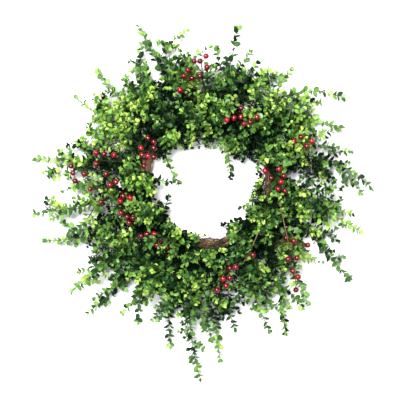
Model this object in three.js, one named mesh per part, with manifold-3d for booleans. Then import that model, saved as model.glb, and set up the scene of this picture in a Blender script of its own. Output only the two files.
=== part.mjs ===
// A eucalyptus wreath with red berry picks, lying on its back.
// Four grapevines twist round each other as the ring. Leafy sprays and berry picks stand out of the ring.
// Millimetres. +Z is the wreath's front and +Y its top.
// The origin is on the table, under the middle of the wreath.

import * as THREE from "three";
import { mergeVertices } from "three/addons/utils/BufferGeometryUtils.js";
import Module from "manifold-3d";

const wasm = await Module();
wasm.setup();

const { Vector3, MathUtils } = THREE;
const UP = new Vector3(0, 0, 1);

// The ring of twisted vines.
const RING_RADIUS = 117;
const RING_HEIGHT = 10.4;
const RING_TURNS = 3;
const RING_STEPS = 36;
const TWIST_RADIUS = 6.4;
const VINES = [
  { name: "thick_vine_1", radius: 5, phase: 0, sides: 6 },
  { name: "thin_vine_1", radius: 3.4, phase: 90, sides: 5 },
  { name: "thick_vine_2", radius: 5, phase: 180, sides: 6 },
  { name: "thin_vine_2", radius: 3.4, phase: 270, sides: 5 },
];

// The photograph's scale. Places of sprays and berries are read from it in pixels, each with a height in mm.
const MM_PER_PIXEL = 1.85;
const IMAGE_CENTRE = [200, 200];
const RING_CENTRE = [207.5, 181];
const EYE_HEIGHT = 1750;

// Stems and leaves.
const SEAT_GAP = 0.38;
const STEM_RADIUS = 1.3;
const FOOT_SHARE = 0.55;
const TWIG_RADIUS = 1;
const LEAF_SPACING = 21;
const LEAF_SHARE = 0.9;
const LEAF_LENGTHS = [6, 17];
const LEAF_LEAN = 24;
const LEAF_TWIST = 0.3;
const BARE_MAIN = 0.12;
const BARE_TWIG = 0.1;
const TAPER = 1.2;
const FLOOR_GAP = 0.8;
const SLIVER = 0.1;
const WELD = 0.15;

// Berries, true to size, on stalks of their own.
const BERRY_RADIUS = 5.4;
const STALK_RADIUS = 0.8;
const STALK_PLACES = 5;
const PICK_SIDE = 80;
const PICK_ARCH = 0.08;
const BERRY_GAP = 0.5;
const BERRY_LIFTS = [0, 6, -6, 12, -12, 18, -18];

// Sprays: angle round the ring, side of the ring (0 outer, 90 front, 180 inner), middle and tip as
// [px, py, height], number of side twigs, and how bright the leaves are from 0 to 1. tips are those of side
// twigs that show in the photograph, each after the share of the main stem that the twig leaves.
const OUTER_SPRAYS = [
  { root: 84, side: 30, middle: [229, 68, 36], tip: [238, 23, 21], twigs: 4, bright: 0.35 },
  { root: 70, side: 0, middle: [247, 84, 18], tip: [282, 77, 12], twigs: 4, bright: 0.4 },
  { root: 55, side: 45, middle: [288, 95, 38], tip: [342, 97, 24], twigs: 4, bright: 0.55 },
  { root: 41, side: 0, middle: [292, 117, 18], tip: [338, 128, 12], twigs: 4, bright: 0.65 },
  {
    root: 27, side: 40, middle: [290, 144, 36], tip: [337, 147, 22],
    tips: [[0.4, 341, 127, 26]],
    twigs: 4, bright: 0.3,
  },
  {
    root: 13, side: 0, middle: [322, 158, 20], tip: [372, 188, 12],
    tips: [[0.5, 361, 193, 14]],
    twigs: 4, bright: 0.55,
  },
  {
    root: -2, side: 40, middle: [312, 203, 36], tip: [360, 231, 22],
    tips: [[0.5, 352, 214, 22]],
    twigs: 4, bright: 0.8,
  },
  { root: -16, side: 0, middle: [306, 230, 18], tip: [348, 278, 12], twigs: 4, bright: 0.25 },
  {
    root: -32, side: 40, middle: [284, 252, 36], tip: [308, 303, 22],
    tips: [[0.4, 322, 262, 22]],
    twigs: 4, bright: 0.4,
  },
  { root: -45, side: 0, middle: [277, 284, 18], tip: [285, 333, 12], twigs: 4, bright: 0.3 },
  {
    root: -59, side: 40, middle: [249, 278, 36], tip: [269, 330, 20],
    tips: [[0.45, 282, 313, 22]],
    twigs: 4, bright: 0.35,
  },
  { root: -76, side: 0, middle: [216, 302, 18], tip: [220, 359, 12], twigs: 4, bright: 0.45 },
  { root: -91, side: 40, middle: [190, 306, 38], tip: [201, 381, 20], twigs: 4, bright: 0.5 },
  {
    root: -105, side: 0, middle: [172, 290, 18], tip: [170, 346, 12],
    tips: [[0.4, 153, 319, 14]],
    twigs: 4, bright: 0.3,
  },
  {
    root: -119, side: 40, middle: [147, 275, 36], tip: [138, 322, 20],
    tips: [[0.6, 123, 313, 18]],
    twigs: 4, bright: 0.35,
  },
  {
    root: -133, side: 0, middle: [132, 271, 18], tip: [89, 312, 12],
    tips: [[0.5, 94, 298, 14]],
    twigs: 4, bright: 0.2,
  },
  {
    root: -147, side: 40, middle: [112, 256, 38], tip: [72, 291, 22],
    tips: [[0.5, 79, 272, 24]],
    twigs: 4, bright: 0.6,
  },
  {
    root: -163, side: 0, middle: [98, 232, 18], tip: [45, 240, 12],
    tips: [[0.5, 62, 223, 14]],
    twigs: 4, bright: 0.5,
  },
  {
    root: -178, side: 40, middle: [92, 203, 36], tip: [29, 214, 20],
    tips: [[0.5, 52, 219, 24]],
    twigs: 4, bright: 0.35,
  },
  {
    root: 166, side: 0, middle: [96, 160, 18], tip: [36, 159, 12],
    tips: [[0.5, 44, 172, 14], [0.3, 55, 178, 24]],
    twigs: 4, bright: 0.65,
  },
  {
    root: 152, side: 40, middle: [114, 127, 38], tip: [76, 98, 22],
    tips: [[0.5, 94, 96, 20]],
    twigs: 4, bright: 0.5,
  },
  { root: 139, side: 0, middle: [124, 104, 18], tip: [98, 71, 12], twigs: 4, bright: 0.85 },
  { root: 125, side: 40, middle: [144, 94, 36], tip: [141, 45, 22], twigs: 4, bright: 0.6 },
  {
    root: 112, side: 0, middle: [164, 76, 18], tip: [139, 27, 12],
    tips: [[0.66, 187, 31, 20]],
    twigs: 4, bright: 0.4,
  },
  { root: 99, side: 40, middle: [184, 76, 38], tip: [210, 47, 24], twigs: 4, bright: 0.3 },
];

// Front sprays arch over the ring and lean round it, clockwise.
// lean is how far round, in degrees, and reach is how far out their tips come.
const FRONT_SPRAYS = [
  { root: 100, lean: 30, reach: 146, bright: 0.35 },
  { root: 71, lean: 28, reach: 152, bright: 0.7 },
  { root: 42, lean: 30, reach: 146, bright: 0.35 },
  { root: 12, lean: 28, reach: 152, bright: 0.3 },
  { root: -17, lean: 30, reach: 148, bright: 0.45 },
  { root: -47, lean: 28, reach: 150, bright: 0.3 },
  { root: -76, lean: 30, reach: 146, bright: 0.5 },
  { root: -109, lean: 27, reach: 150, bright: 0.5 },
  { root: -134, lean: 30, reach: 148, bright: 0.45 },
  { root: -164, lean: 28, reach: 150, bright: 0.35 },
  { root: 139, lean: 20, reach: 156, bright: 0.7 },
  { root: 118, lean: 24, reach: 150, bright: 0.6 },
];
const FRONT_MIDDLE_RADIUS = 119;
const FRONT_MIDDLE_HEIGHT = 62;
const FRONT_TIP_HEIGHT = 56;
const FRONT_TWIGS = 4;
const FRONT_SIDE = 90;

const INNER_SPRAYS = [
  { root: 137, side: 140, middle: [168, 163, 38], tip: [179, 183, 22], twigs: 0, bright: 0.5 },
  { root: 178, side: 150, middle: [157, 180, 34], tip: [171, 182, 22], twigs: 0, bright: 0.5 },
  { root: -141, side: 160, middle: [163, 212, 28], tip: [169, 197, 17], twigs: 0, bright: 0.2 },
  { root: 73, side: 150, middle: [228, 150, 36], tip: [231, 178, 20], twigs: 1, bright: 0.45 },
  { root: 46, side: 160, middle: [247, 150, 24], tip: [243, 161, 14], twigs: 0, bright: 0.15 },
  { root: 2, side: 150, middle: [256, 196, 32], tip: [240, 208, 18], twigs: 1, bright: 0.45 },
  { root: -38, side: 160, middle: [241, 221, 28], tip: [223, 224, 16], twigs: 0, bright: 0.2 },
];

// Berry picks: ring angle, height of the cluster, and each berry's pixel.
const BERRY_PICKS = [
  {
    root: 91,
    height: 50,
    berries: [
      [206, 56], [200, 61], [207, 67], [188, 70], [184, 76], [200, 76], [180, 90], [194, 61], [192, 78],
    ],
  },
  {
    root: 78,
    height: 72,
    berries: [[241, 108], [257, 117], [250, 122], [241, 117], [227, 120], [234, 118], [244, 124]],
  },
  { root: 21, height: 48, berries: [[301, 137], [312, 141], [307, 146], [294, 141]] },
  {
    root: 17,
    height: 70,
    berries: [[284, 176], [281, 182], [285, 191], [271, 178], [279, 169], [265, 171], [278, 189]],
  },
  {
    root: -38,
    height: 52,
    berries: [
      [308, 245], [294, 241], [293, 271], [298, 277], [296, 290], [288, 259], [297, 258], [286, 238],
    ],
  },
  {
    root: -70,
    height: 72,
    berries: [[230, 268], [223, 279], [230, 278], [217, 290], [226, 286], [236, 267], [253, 255]],
  },
  {
    root: -152,
    height: 70,
    berries: [[121, 213], [127, 217], [133, 218], [129, 223], [101, 202], [120, 201]],
  },
  {
    root: -127,
    height: 66,
    berries: [[154, 234], [141, 236], [147, 234], [161, 240], [157, 245], [167, 247]],
  },
  {
    root: 146,
    height: 66,
    berries: [[148, 138], [154, 142], [141, 148], [148, 156], [142, 155], [154, 148], [144, 166], [154, 157]],
  },
  { root: 158, height: 60, berries: [[104, 154], [96, 164], [114, 155], [96, 153]] },
  { root: 174, height: 44, berries: [[71, 166], [73, 173], [75, 181], [84, 174]] },
  {
    root: -174,
    height: 70,
    berries: [[106, 174], [116, 182], [110, 185], [90, 189], [123, 196], [130, 198]],
  },
];

/** Even draws from 0 to 1, the same for the same seed. */
function seededDraws(seed) {
  let state = seed;
  return () => {
    state = (Math.imul(state, 1664525) + 1013904223) >>> 0;
    return state / 4294967296;
  };
}

/** A place in the photograph and a height as a point measured from the ring's centre. */
function fromPhoto([px, py, height]) {
  const shrink = MM_PER_PIXEL * (1 - height / EYE_HEIGHT);
  return new Vector3(
    (px - IMAGE_CENTRE[0]) * shrink - (RING_CENTRE[0] - IMAGE_CENTRE[0]) * MM_PER_PIXEL,
    (IMAGE_CENTRE[1] - py) * shrink - (IMAGE_CENTRE[1] - RING_CENTRE[1]) * MM_PER_PIXEL,
    height,
  );
}

/** A turn in the ring's cross-section at an angle round the ring: 0 points outward and 90 to the front. */
function acrossRing(ringAngle, phase) {
  const around = MathUtils.degToRad(ringAngle);
  const tilt = MathUtils.degToRad(phase);
  return new Vector3(
    Math.cos(around) * Math.cos(tilt),
    Math.sin(around) * Math.cos(tilt),
    Math.sin(tilt),
  );
}

/** A point of a vine's middle line at an angle round the ring. */
function vinePoint(vine, ringAngle) {
  const phase = RING_TURNS * ringAngle + vine.phase;
  const middle = acrossRing(ringAngle, 0).multiplyScalar(RING_RADIUS).setZ(RING_HEIGHT);
  return middle.addScaledVector(acrossRing(ringAngle, phase), TWIST_RADIUS);
}

/** Points that are taken, each with a radius and an owner, in cells so that near ones are found quickly. */
class TakenSpace {
  constructor(reach) {
    this.reach = reach;
    this.cells = new Map();
  }

  key(i, j, k) {
    return ((i + 512) * 1024 + (j + 512)) * 1024 + (k + 512);
  }

  cellOf(value) {
    return Math.floor(value / this.reach);
  }

  add(point, radius, owner) {
    const key = this.key(this.cellOf(point.x), this.cellOf(point.y), this.cellOf(point.z));
    if (!this.cells.has(key)) this.cells.set(key, []);
    this.cells.get(key).push({ point, radius, owner });
  }

  isFree(point, radius, owner) {
    const [ci, cj, ck] = [this.cellOf(point.x), this.cellOf(point.y), this.cellOf(point.z)];
    for (let i = ci - 1; i <= ci + 1; i += 1) {
      for (let j = cj - 1; j <= cj + 1; j += 1) {
        for (let k = ck - 1; k <= ck + 1; k += 1) {
          for (const taken of this.cells.get(this.key(i, j, k)) ?? []) {
            if (taken.owner !== owner && taken.point.distanceTo(point) < taken.radius + radius) return false;
          }
        }
      }
    }
    return true;
  }
}

// Side twigs leave the first part of the main stem, one to the left, the next to the right, each turned off
// by an angle in this range. The farther along one starts, the shorter it is.
const TWIG_TURNS = [30, 46];
const TWIG_START = 0.1;
const TWIG_RANGE = 0.46;
const TWIG_REACH = 0.5;
const TWIG_SHORTENS = 0.42;

// How far apart middle lines of twigs stay, and how a twig is bent in mm and swung in degrees to get there.
const TWIG_APART = 5;
const TWIG_STEP = 3;
const LIFTS = [0, 5, -5, 10, -10, 15, -15, 20, -20];
const SWINGS = [0, 7, -7, 14, -14];
const LOWEST_TWIG = 5;
const MAIN_SEAT = 11;
const TWIG_SEAT = 8;
const twigSpace = new TakenSpace(2 * TWIG_APART);

/** Points about every step along the straight stretches that a curve is built as. */
function pointsAlong(curve, breaks, step) {
  const corners = breaks.map((t) => curve.getPoint(t));
  const points = [corners[0]];
  corners.slice(1).forEach((corner, i) => {
    const count = Math.ceil(corner.distanceTo(corners[i]) / step);
    for (let j = 1; j <= count; j += 1) points.push(corners[i].clone().lerp(corner, j / count));
  });
  return points;
}

/** Where along a leafy stem its sections are: its foot, then one for each pair of leaves. */
function stationsOf(curve, bare) {
  const pairs = Math.max(2, Math.round((curve.getLength() * (1 - bare)) / LEAF_SPACING));
  const closer = (i) => 1 - (1 - i / pairs) ** TAPER;
  return [0, ...Array.from({ length: pairs + 1 }, (_, i) => bare + (1 - bare) * closer(i))];
}

/** A curve from start to end, swung and bent up or down until it passes clear of other sprays, or null. */
function bentClear(start, control, end, owner, seat, breaksOf) {
  const moved = (point, swing, lift) => {
    const swung = point.clone().sub(start).applyAxisAngle(UP, MathUtils.degToRad(swing));
    return swung.add(start).addScaledVector(UP, lift);
  };
  for (const swing of SWINGS) {
    for (const lift of LIFTS) {
      const curve = new THREE.QuadraticBezierCurve3(
        start,
        moved(control, swing, 0.6 * lift),
        moved(end, swing, lift),
      );
      const points = pointsAlong(curve, breaksOf(curve), TWIG_STEP);
      const free = points.filter((p) => p.distanceTo(start) > seat);
      if (free.every((p) => p.z >= LOWEST_TWIG && twigSpace.isFree(p, TWIG_APART / 2, owner))) {
        points.forEach((p) => twigSpace.add(p, TWIG_APART / 2, owner));
        return curve;
      }
    }
  }
  return null;
}

/** How far the bark lies from a vine's middle line at a phase. Its section is a polygon, flat below. */
function barkRadius(vine, phase) {
  const face = 360 / vine.sides;
  const offFace = MathUtils.euclideanModulo(phase + 90 + face / 2, face) - face / 2;
  const toFlat = vine.radius * Math.cos(Math.PI / vine.sides);
  return toFlat / Math.cos(MathUtils.degToRad(offFace));
}

/** Where a stem stands on the ring: on the vine that lies farthest to that side, a small gap off its bark. */
function seatOnRing(ringAngle, side, towards) {
  const turned = (vine) => {
    const off = RING_TURNS * ringAngle + vine.phase - side;
    return Math.abs(MathUtils.euclideanModulo(off + 180, 360) - 180);
  };
  const vine = VINES.reduce((best, other) => (turned(other) < turned(best) ? other : best));
  const phase = RING_TURNS * ringAngle + vine.phase;
  const normal = acrossRing(ringAngle, phase);
  const step = 360 / RING_STEPS;
  const section = Math.floor(ringAngle / step);
  const [before, after] = [vinePoint(vine, section * step), vinePoint(vine, (section + 1) * step)];
  const middle = before.lerp(after, ringAngle / step - section);
  const aim = towards.clone().sub(middle).normalize();
  const slant = Math.sqrt(Math.max(0, 1 - aim.dot(normal) ** 2));
  const footRadius = FOOT_SHARE * STEM_RADIUS * slant;
  return middle.addScaledVector(normal, barkRadius(vine, phase) + SEAT_GAP + footRadius);
}

/** The control point that takes a quadratic curve from root to tip through the middle. */
function controlThrough(root, middle, tip) {
  return middle.clone().multiplyScalar(2).addScaledVector(root, -0.5).addScaledVector(tip, -0.5);
}

/** The points that a spray's main stem passes through and ends in. */
function sprayCourse(spray) {
  if (!spray.lean) return { middle: fromPhoto(spray.middle), tip: fromPhoto(spray.tip) };
  const round = (radius, share, height) =>
    acrossRing(spray.root - share * spray.lean, 0).multiplyScalar(radius).setZ(height);
  return {
    middle: round(FRONT_MIDDLE_RADIUS, 0.42, FRONT_MIDDLE_HEIGHT),
    tip: round(spray.reach, 1, FRONT_TIP_HEIGHT),
  };
}

/** Where along a main stem its sections are. */
function mainBreaks(curve) {
  return stationsOf(curve, BARE_MAIN);
}

/** Where along a side twig its sections are. */
function twigBreaks(curve) {
  return stationsOf(curve, BARE_TWIG);
}

/** A spray's main stem as a curve. */
function mainStem(spray, owner) {
  const { middle, tip } = sprayCourse(spray);
  const near = acrossRing(spray.root, 0).multiplyScalar(RING_RADIUS).setZ(RING_HEIGHT);
  const root = seatOnRing(spray.root, spray.side ?? FRONT_SIDE, controlThrough(near, middle, tip));
  const main = bentClear(root, controlThrough(root, middle, tip), tip, owner, MAIN_SEAT, mainBreaks);
  if (!main) throw new Error(`the main stem of spray ${owner} has no clear way`);
  return main;
}

/** A spray's main stem and side twigs as curves. */
function sprayCurves(spray, main, index, owner) {
  const draw = seededDraws(7919 * (index + 1));
  const length = main.v0.distanceTo(main.v2);
  const firstSide = draw() < 0.5 ? -1 : 1;
  const stations = mainBreaks(main);
  const curves = [{ curve: main, radius: STEM_RADIUS, stations }];
  const nearestStation = (wanted) => {
    const off = (t) => Math.abs(t - wanted);
    return stations.slice(1, -1).reduce((best, t) => (off(t) < off(best) ? t : best));
  };
  const addTwig = (start, control, end) => {
    const curve = bentClear(start, control, end, owner, TWIG_SEAT, twigBreaks);
    if (curve) curves.push({ curve, radius: TWIG_RADIUS, stations: twigBreaks(curve) });
  };
  const sideTips = spray.tips ?? [];
  for (const [share, ...seen] of sideTips) {
    const along = nearestStation(share);
    const start = main.getPoint(along);
    const end = fromPhoto(seen);
    const ahead = main.getTangent(along).multiplyScalar(0.5 * start.distanceTo(end));
    addTwig(start, start.clone().add(ahead).add(start.clone().lerp(end, 0.5)).multiplyScalar(0.5), end);
  }
  const twigs = (spray.twigs ?? FRONT_TWIGS) - sideTips.length;
  for (let j = 0; j < twigs; j += 1) {
    const along = nearestStation(TWIG_START + (TWIG_RANGE * (j + 0.4 * draw())) / twigs);
    const turn = firstSide * (j % 2 ? -1 : 1) * MathUtils.degToRad(MathUtils.lerp(...TWIG_TURNS, draw()));
    const reach = length * (TWIG_REACH - TWIG_SHORTENS * along) * (0.85 + 0.3 * draw());
    const rise = (draw() - 0.45) * 0.3 * reach;
    const start = main.getPoint(along);
    const ahead = main.getTangent(along);
    const slope = ahead.z * 0.5 * reach;
    const flat = ahead.setZ(0).normalize();
    const end = start.clone().addScaledVector(flat.clone().applyAxisAngle(UP, turn * 0.8), reach);
    const control = start.clone().addScaledVector(flat.clone().applyAxisAngle(UP, turn * 1.3), reach * 0.5);
    end.z += rise + slope;
    control.z += 0.7 * (rise + slope);
    addTwig(start, control, end);
  }
  return curves;
}

/** The smallest distance from a point to a piece of a line. */
function distanceToLine(point, from, to) {
  const nearest = new THREE.Line3(from, to).closestPointToPoint(point, true, new Vector3());
  return nearest.distanceTo(point);
}

/** Where along a berry pick's stem its sections are. */
function pickBreaks() {
  return Array.from({ length: STALK_PLACES + 1 }, (_, i) => i / STALK_PLACES);
}

/** A berry pick's stem and its berries, each with the point of the stem that its stalk leaves. */
function pickCurves(pick, owner) {
  const centre = new Vector3();
  pick.berries.forEach(([px, py]) => centre.add(fromPhoto([px, py, pick.height])));
  centre.divideScalar(pick.berries.length);
  const root = seatOnRing(pick.root, PICK_SIDE, centre);
  const last = pick.berries
    .map(([px, py]) => fromPhoto([px, py, pick.height]))
    .reduce((far, b) => (b.distanceTo(root) > far.distanceTo(root) ? b : far));
  const end = last.lerp(centre, 0.4).addScaledVector(UP, -10);
  const middle = root.clone().lerp(end, 0.5).addScaledVector(UP, PICK_ARCH * root.distanceTo(end));
  const stem = bentClear(root, controlThrough(root, middle, end), end, owner, MAIN_SEAT, pickBreaks);
  if (!stem) throw new Error(`${owner} has no clear way`);
  const stemPoints = pickBreaks().map((t) => stem.getPoint(t));
  const berries = [];
  for (const [px, py] of pick.berries) {
    const heights = BERRY_LIFTS.map((lift) => fromPhoto([px, py, pick.height + lift]));
    const clear = heights.find(
      (place) =>
        berries.every((other) => other.distanceTo(place) > 2 * BERRY_RADIUS + BERRY_GAP) &&
        stemPoints.every((point) => point.distanceTo(place) > BERRY_RADIUS + STEM_RADIUS + BERRY_GAP),
    );
    if (clear) berries.push(clear);
  }
  const stalks = berries.map((berry) => {
    const others = berries.filter((other) => other !== berry);
    const starts = stemPoints
      .slice(1)
      .filter((from) => others.every((o) => distanceToLine(o, from, berry) > BERRY_RADIUS + STALK_RADIUS));
    const cost = (from) => from.distanceTo(berry) + 0.5 * from.distanceTo(root);
    const from = starts.reduce((best, other) => (cost(other) < cost(best) ? other : best), starts[0]);
    return { berry, from };
  });
  return { stem, stalks: stalks.filter(({ from }) => from) };
}

/** Vertices and triangles as a closed solid. */
function solidOf(vertices, triangles) {
  const mesh = new wasm.Mesh({
    numProp: 3,
    vertProperties: new Float32Array(vertices.flatMap((v) => [v.x, v.y, v.z])),
    triVerts: new Uint32Array(triangles.flat()),
  });
  return new wasm.Manifold(mesh);
}

/** A three.js geometry as a closed solid. */
function solidFrom(geometry) {
  const bare = new THREE.BufferGeometry().setAttribute("position", geometry.getAttribute("position"));
  if (geometry.index) bare.setIndex(geometry.index);
  const merged = mergeVertices(bare, 1e-3);
  return new wasm.Manifold(
    new wasm.Mesh({
      numProp: 3,
      vertProperties: merged.attributes.position.array,
      triVerts: new Uint32Array(merged.index.array),
    }),
  );
}

/** A solid whose vertices closer than WELD are one, and without the triangles that this flattens. */
function welded(solid) {
  const { vertProperties, triVerts, numVert } = solid.getMesh();
  const vertices = Array.from({ length: numVert }, (_, i) => new Vector3().fromArray(vertProperties, 3 * i));
  const same = vertices.map((vertex) => vertices.findIndex((other) => other.distanceTo(vertex) < WELD));
  const faces = new Map();
  for (let i = 0; i < triVerts.length; i += 3) {
    const face = [...triVerts.slice(i, i + 3)].map((v) => same[v]);
    if (new Set(face).size < 3) continue;
    const key = [...face].sort((u, v) => u - v).join();
    if (faces.has(key)) faces.delete(key);
    else faces.set(key, face);
  }
  return solidOf(vertices, [...faces.values()]);
}

/** Solids joined in one, without the slivers that joining leaves. */
function fused(solids) {
  const whole = solids.reduce((joined, solid) => joined.add(solid));
  return welded(whole.asOriginal().simplify(SLIVER));
}

/** A solid as a three.js geometry. */
function geometryFrom(solid) {
  const { vertProperties, triVerts } = solid.getMesh();
  const geometry = new THREE.BufferGeometry();
  geometry.setAttribute("position", new THREE.BufferAttribute(vertProperties, 3));
  geometry.setIndex(new THREE.BufferAttribute(triVerts, 1));
  geometry.computeVertexNormals();
  return geometry;
}

/** A vine: a round section swept along its twisted hoop, trimmed flat where it rests. */
function vineSolid(vine) {
  const vertices = [];
  const triangles = [];
  for (let i = 0; i < RING_STEPS; i += 1) {
    const ringAngle = (360 * i) / RING_STEPS;
    const middle = vinePoint(vine, ringAngle);
    for (let s = 0; s < vine.sides; s += 1) {
      const offset = acrossRing(ringAngle, (360 * s) / vine.sides - 90 + 180 / vine.sides);
      vertices.push(middle.clone().addScaledVector(offset, vine.radius));
      const here = i * vine.sides;
      const next = ((i + 1) % RING_STEPS) * vine.sides;
      const t = (s + 1) % vine.sides;
      triangles.push([here + s, here + t, next + t], [here + s, next + t, next + s]);
    }
  }
  const vineBody = solidOf(vertices, triangles.map(([a, b, c]) => [a, c, b]));
  const below = new THREE.BoxGeometry(4 * RING_RADIUS, 4 * RING_RADIUS, 10).translate(0, 0, -5);
  return vineBody.subtract(solidFrom(below));
}

// Leaves: points on a leaf for the test of free space, and the ways to fold or shrink one that isn't clear.
const leafSpace = new TakenSpace(9);
const SLACK = 0.9;
const LEAF_THICKNESS = 0.6;
const FOLDS = [[0, 1], [22, 1], [-22, 1], [44, 0.9], [-44, 0.9], [0, 0.7], [30, 0.6], [-30, 0.6], [0, 0.45]];

/** Points spread over a triangle. */
function spread(a, b, c, parts) {
  const points = [];
  for (let i = 0; i <= parts; i += 1) {
    for (let j = 0; j <= parts - i; j += 1) {
      const [u, v] = [i / parts, j / parts];
      points.push(a.clone().multiplyScalar(1 - u - v).addScaledVector(b, u).addScaledVector(c, v));
    }
  }
  return points;
}

/** Whether a point lies behind a triangle's face, or on it. */
function isBehind(point, p, q, r) {
  const normal = q.clone().sub(p).cross(r.clone().sub(p));
  return normal.dot(point.clone().sub(p)) < 1e-6;
}

/** Whether a leaf's two faces, which slope from its rim to the stem's edges beside it, stay apart. */
function facesApart([u, v, w], a, c, [d, e], [otherD, otherE]) {
  return (
    isBehind(otherD, d, a, u) &&
    isBehind(otherD, d, u, v) &&
    isBehind(otherD, d, v, e) &&
    isBehind(otherE, d, v, e) &&
    isBehind(otherE, e, v, w) &&
    isBehind(otherE, e, w, c)
  );
}

/** The rim of a leaf that stands on a stem's edge from a to c, or null where there is no room for it. */
function leafRim(a, c, beside, outward, ahead, owner) {
  const across = new Vector3().crossVectors(ahead, outward).normalize();
  const base = a.clone().add(c).multiplyScalar(0.5);
  const width = a.distanceTo(c);
  const lean = MathUtils.degToRad(LEAF_LEAN);
  const length = MathUtils.clamp(LEAF_SHARE * width, ...LEAF_LENGTHS);
  for (const [fold, size] of FOLDS) {
    const turned = outward.clone().applyAxisAngle(ahead, MathUtils.degToRad(fold));
    const axis = turned.clone().multiplyScalar(Math.cos(lean)).addScaledVector(ahead, Math.sin(lean));
    const side = ahead.clone().multiplyScalar(Math.cos(lean)).addScaledVector(turned, -Math.sin(lean));
    side.addScaledVector(across, LEAF_TWIST).normalize();
    const half = 0.5 * Math.min(width, 1.15 * length) * size;
    const at = (out, along) =>
      base.clone().addScaledVector(axis, out * length * size).addScaledVector(side, along * half);
    const rim = [at(0.55, -1), at(1, 0), at(0.55, 1)];
    if (!facesApart(rim, a, c, ...beside)) continue;
    const points = [
      ...spread(a, rim[0], rim[1], 5),
      ...spread(a, rim[1], c, 5),
      ...spread(c, rim[1], rim[2], 5),
    ].filter((p) => p.distanceTo(base) > 2.5);
    const reach = LEAF_THICKNESS + SLACK;
    if (points.every((p) => p.z > FLOOR_GAP && leafSpace.isFree(p, reach, owner))) {
      points.forEach((p) => leafSpace.add(p, LEAF_THICKNESS, owner));
      return rim;
    }
  }
  return null;
}

/** A stem of four edges with a pair of leaves on opposite edges, turned by a quarter from pair to pair. */
function leafyTwig({ curve, radius, stations }, owner) {
  const last = stations.length - 1;
  const vertices = [];
  const frames = stations.map((t, i) => {
    const ahead = curve.getTangent(t);
    const side = new Vector3().crossVectors(ahead, UP).normalize();
    const up = new Vector3().crossVectors(side, ahead);
    const edge = (k) => {
      const angle = MathUtils.degToRad(45 + 90 * k);
      return side.clone().multiplyScalar(Math.cos(angle)).addScaledVector(up, Math.sin(angle));
    };
    const point = curve.getPoint(t);
    const thickness = radius * (i === 0 ? FOOT_SHARE : 1 - 0.4 * t) * (i === last ? 0 : 1);
    for (let k = 0; k < (i === last ? 1 : 4); k += 1) {
      vertices.push(point.clone().addScaledVector(edge(k), thickness));
    }
    return { ahead, edge };
  });
  const vertexAt = (i, k) => (i === last ? 4 * last : 4 * i + (k % 4));
  const triangles = [[0, 1, 2], [0, 2, 3]];
  for (let i = 0; i < last; i += 1) {
    const rims = [0, 1, 2, 3].map((k) => {
      if (i === 0 || i % 2 === k % 2) return null;
      const piece = (edge) => [vertices[vertexAt(i, edge)], vertices[vertexAt(i + 1, edge)]];
      const [a, c] = piece(k);
      const beside = [piece(k + 1), piece(k + 3)];
      const rim = leafRim(a, c, beside, frames[i].edge(k), frames[i].ahead, owner);
      if (!rim) return null;
      vertices.push(...rim);
      return [vertices.length - 3, vertices.length - 2, vertices.length - 1];
    });
    for (let k = 0; k < 4; k += 1) {
      const [a, c] = [vertexAt(i, k), vertexAt(i + 1, k)];
      const [d, e] = [vertexAt(i, k + 1), vertexAt(i + 1, k + 1)];
      const [mine, theirs] = [rims[k], rims[(k + 1) % 4]];
      if (mine) {
        const [u, v, w] = mine;
        triangles.push([d, a, u], [d, u, v], [d, v, e], [e, v, w], [e, w, c]);
      } else if (theirs) {
        const [u, v, w] = theirs;
        triangles.push([a, u, d], [a, v, u], [a, c, v], [c, w, v], [c, e, w]);
      } else {
        triangles.push([a, c, e], [a, e, d]);
      }
    }
  }
  return solidOf(vertices, triangles.filter(([a, b, c]) => a !== b && b !== c && c !== a));
}

/** A stick of three sides through the points, with a thinner foot. */
function stick(points, radius) {
  const vertices = [];
  const triangles = [];
  points.forEach((point, i) => {
    const [before, after] = [points[Math.max(i - 1, 0)], points[Math.min(i + 1, points.length - 1)]];
    const ahead = after.clone().sub(before).normalize();
    const level = Math.abs(ahead.z) > 0.95 ? new Vector3(1, 0, 0) : UP;
    const side = new Vector3().crossVectors(ahead, level).normalize();
    for (let k = 0; k < 3; k += 1) {
      const around = side.clone().applyAxisAngle(ahead, (2 * Math.PI * k) / 3);
      vertices.push(point.clone().addScaledVector(around, i > 0 ? radius : FOOT_SHARE * radius));
      if (i > 0) {
        const [a, b] = [3 * i - 3 + k, 3 * i - 3 + ((k + 1) % 3)];
        triangles.push([a, b, b + 3], [a, b + 3, a + 3]);
      }
    }
  });
  const end = vertices.length - 3;
  triangles.push([2, 1, 0], [end, end + 1, end + 2]);
  return solidOf(vertices, triangles);
}

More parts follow.
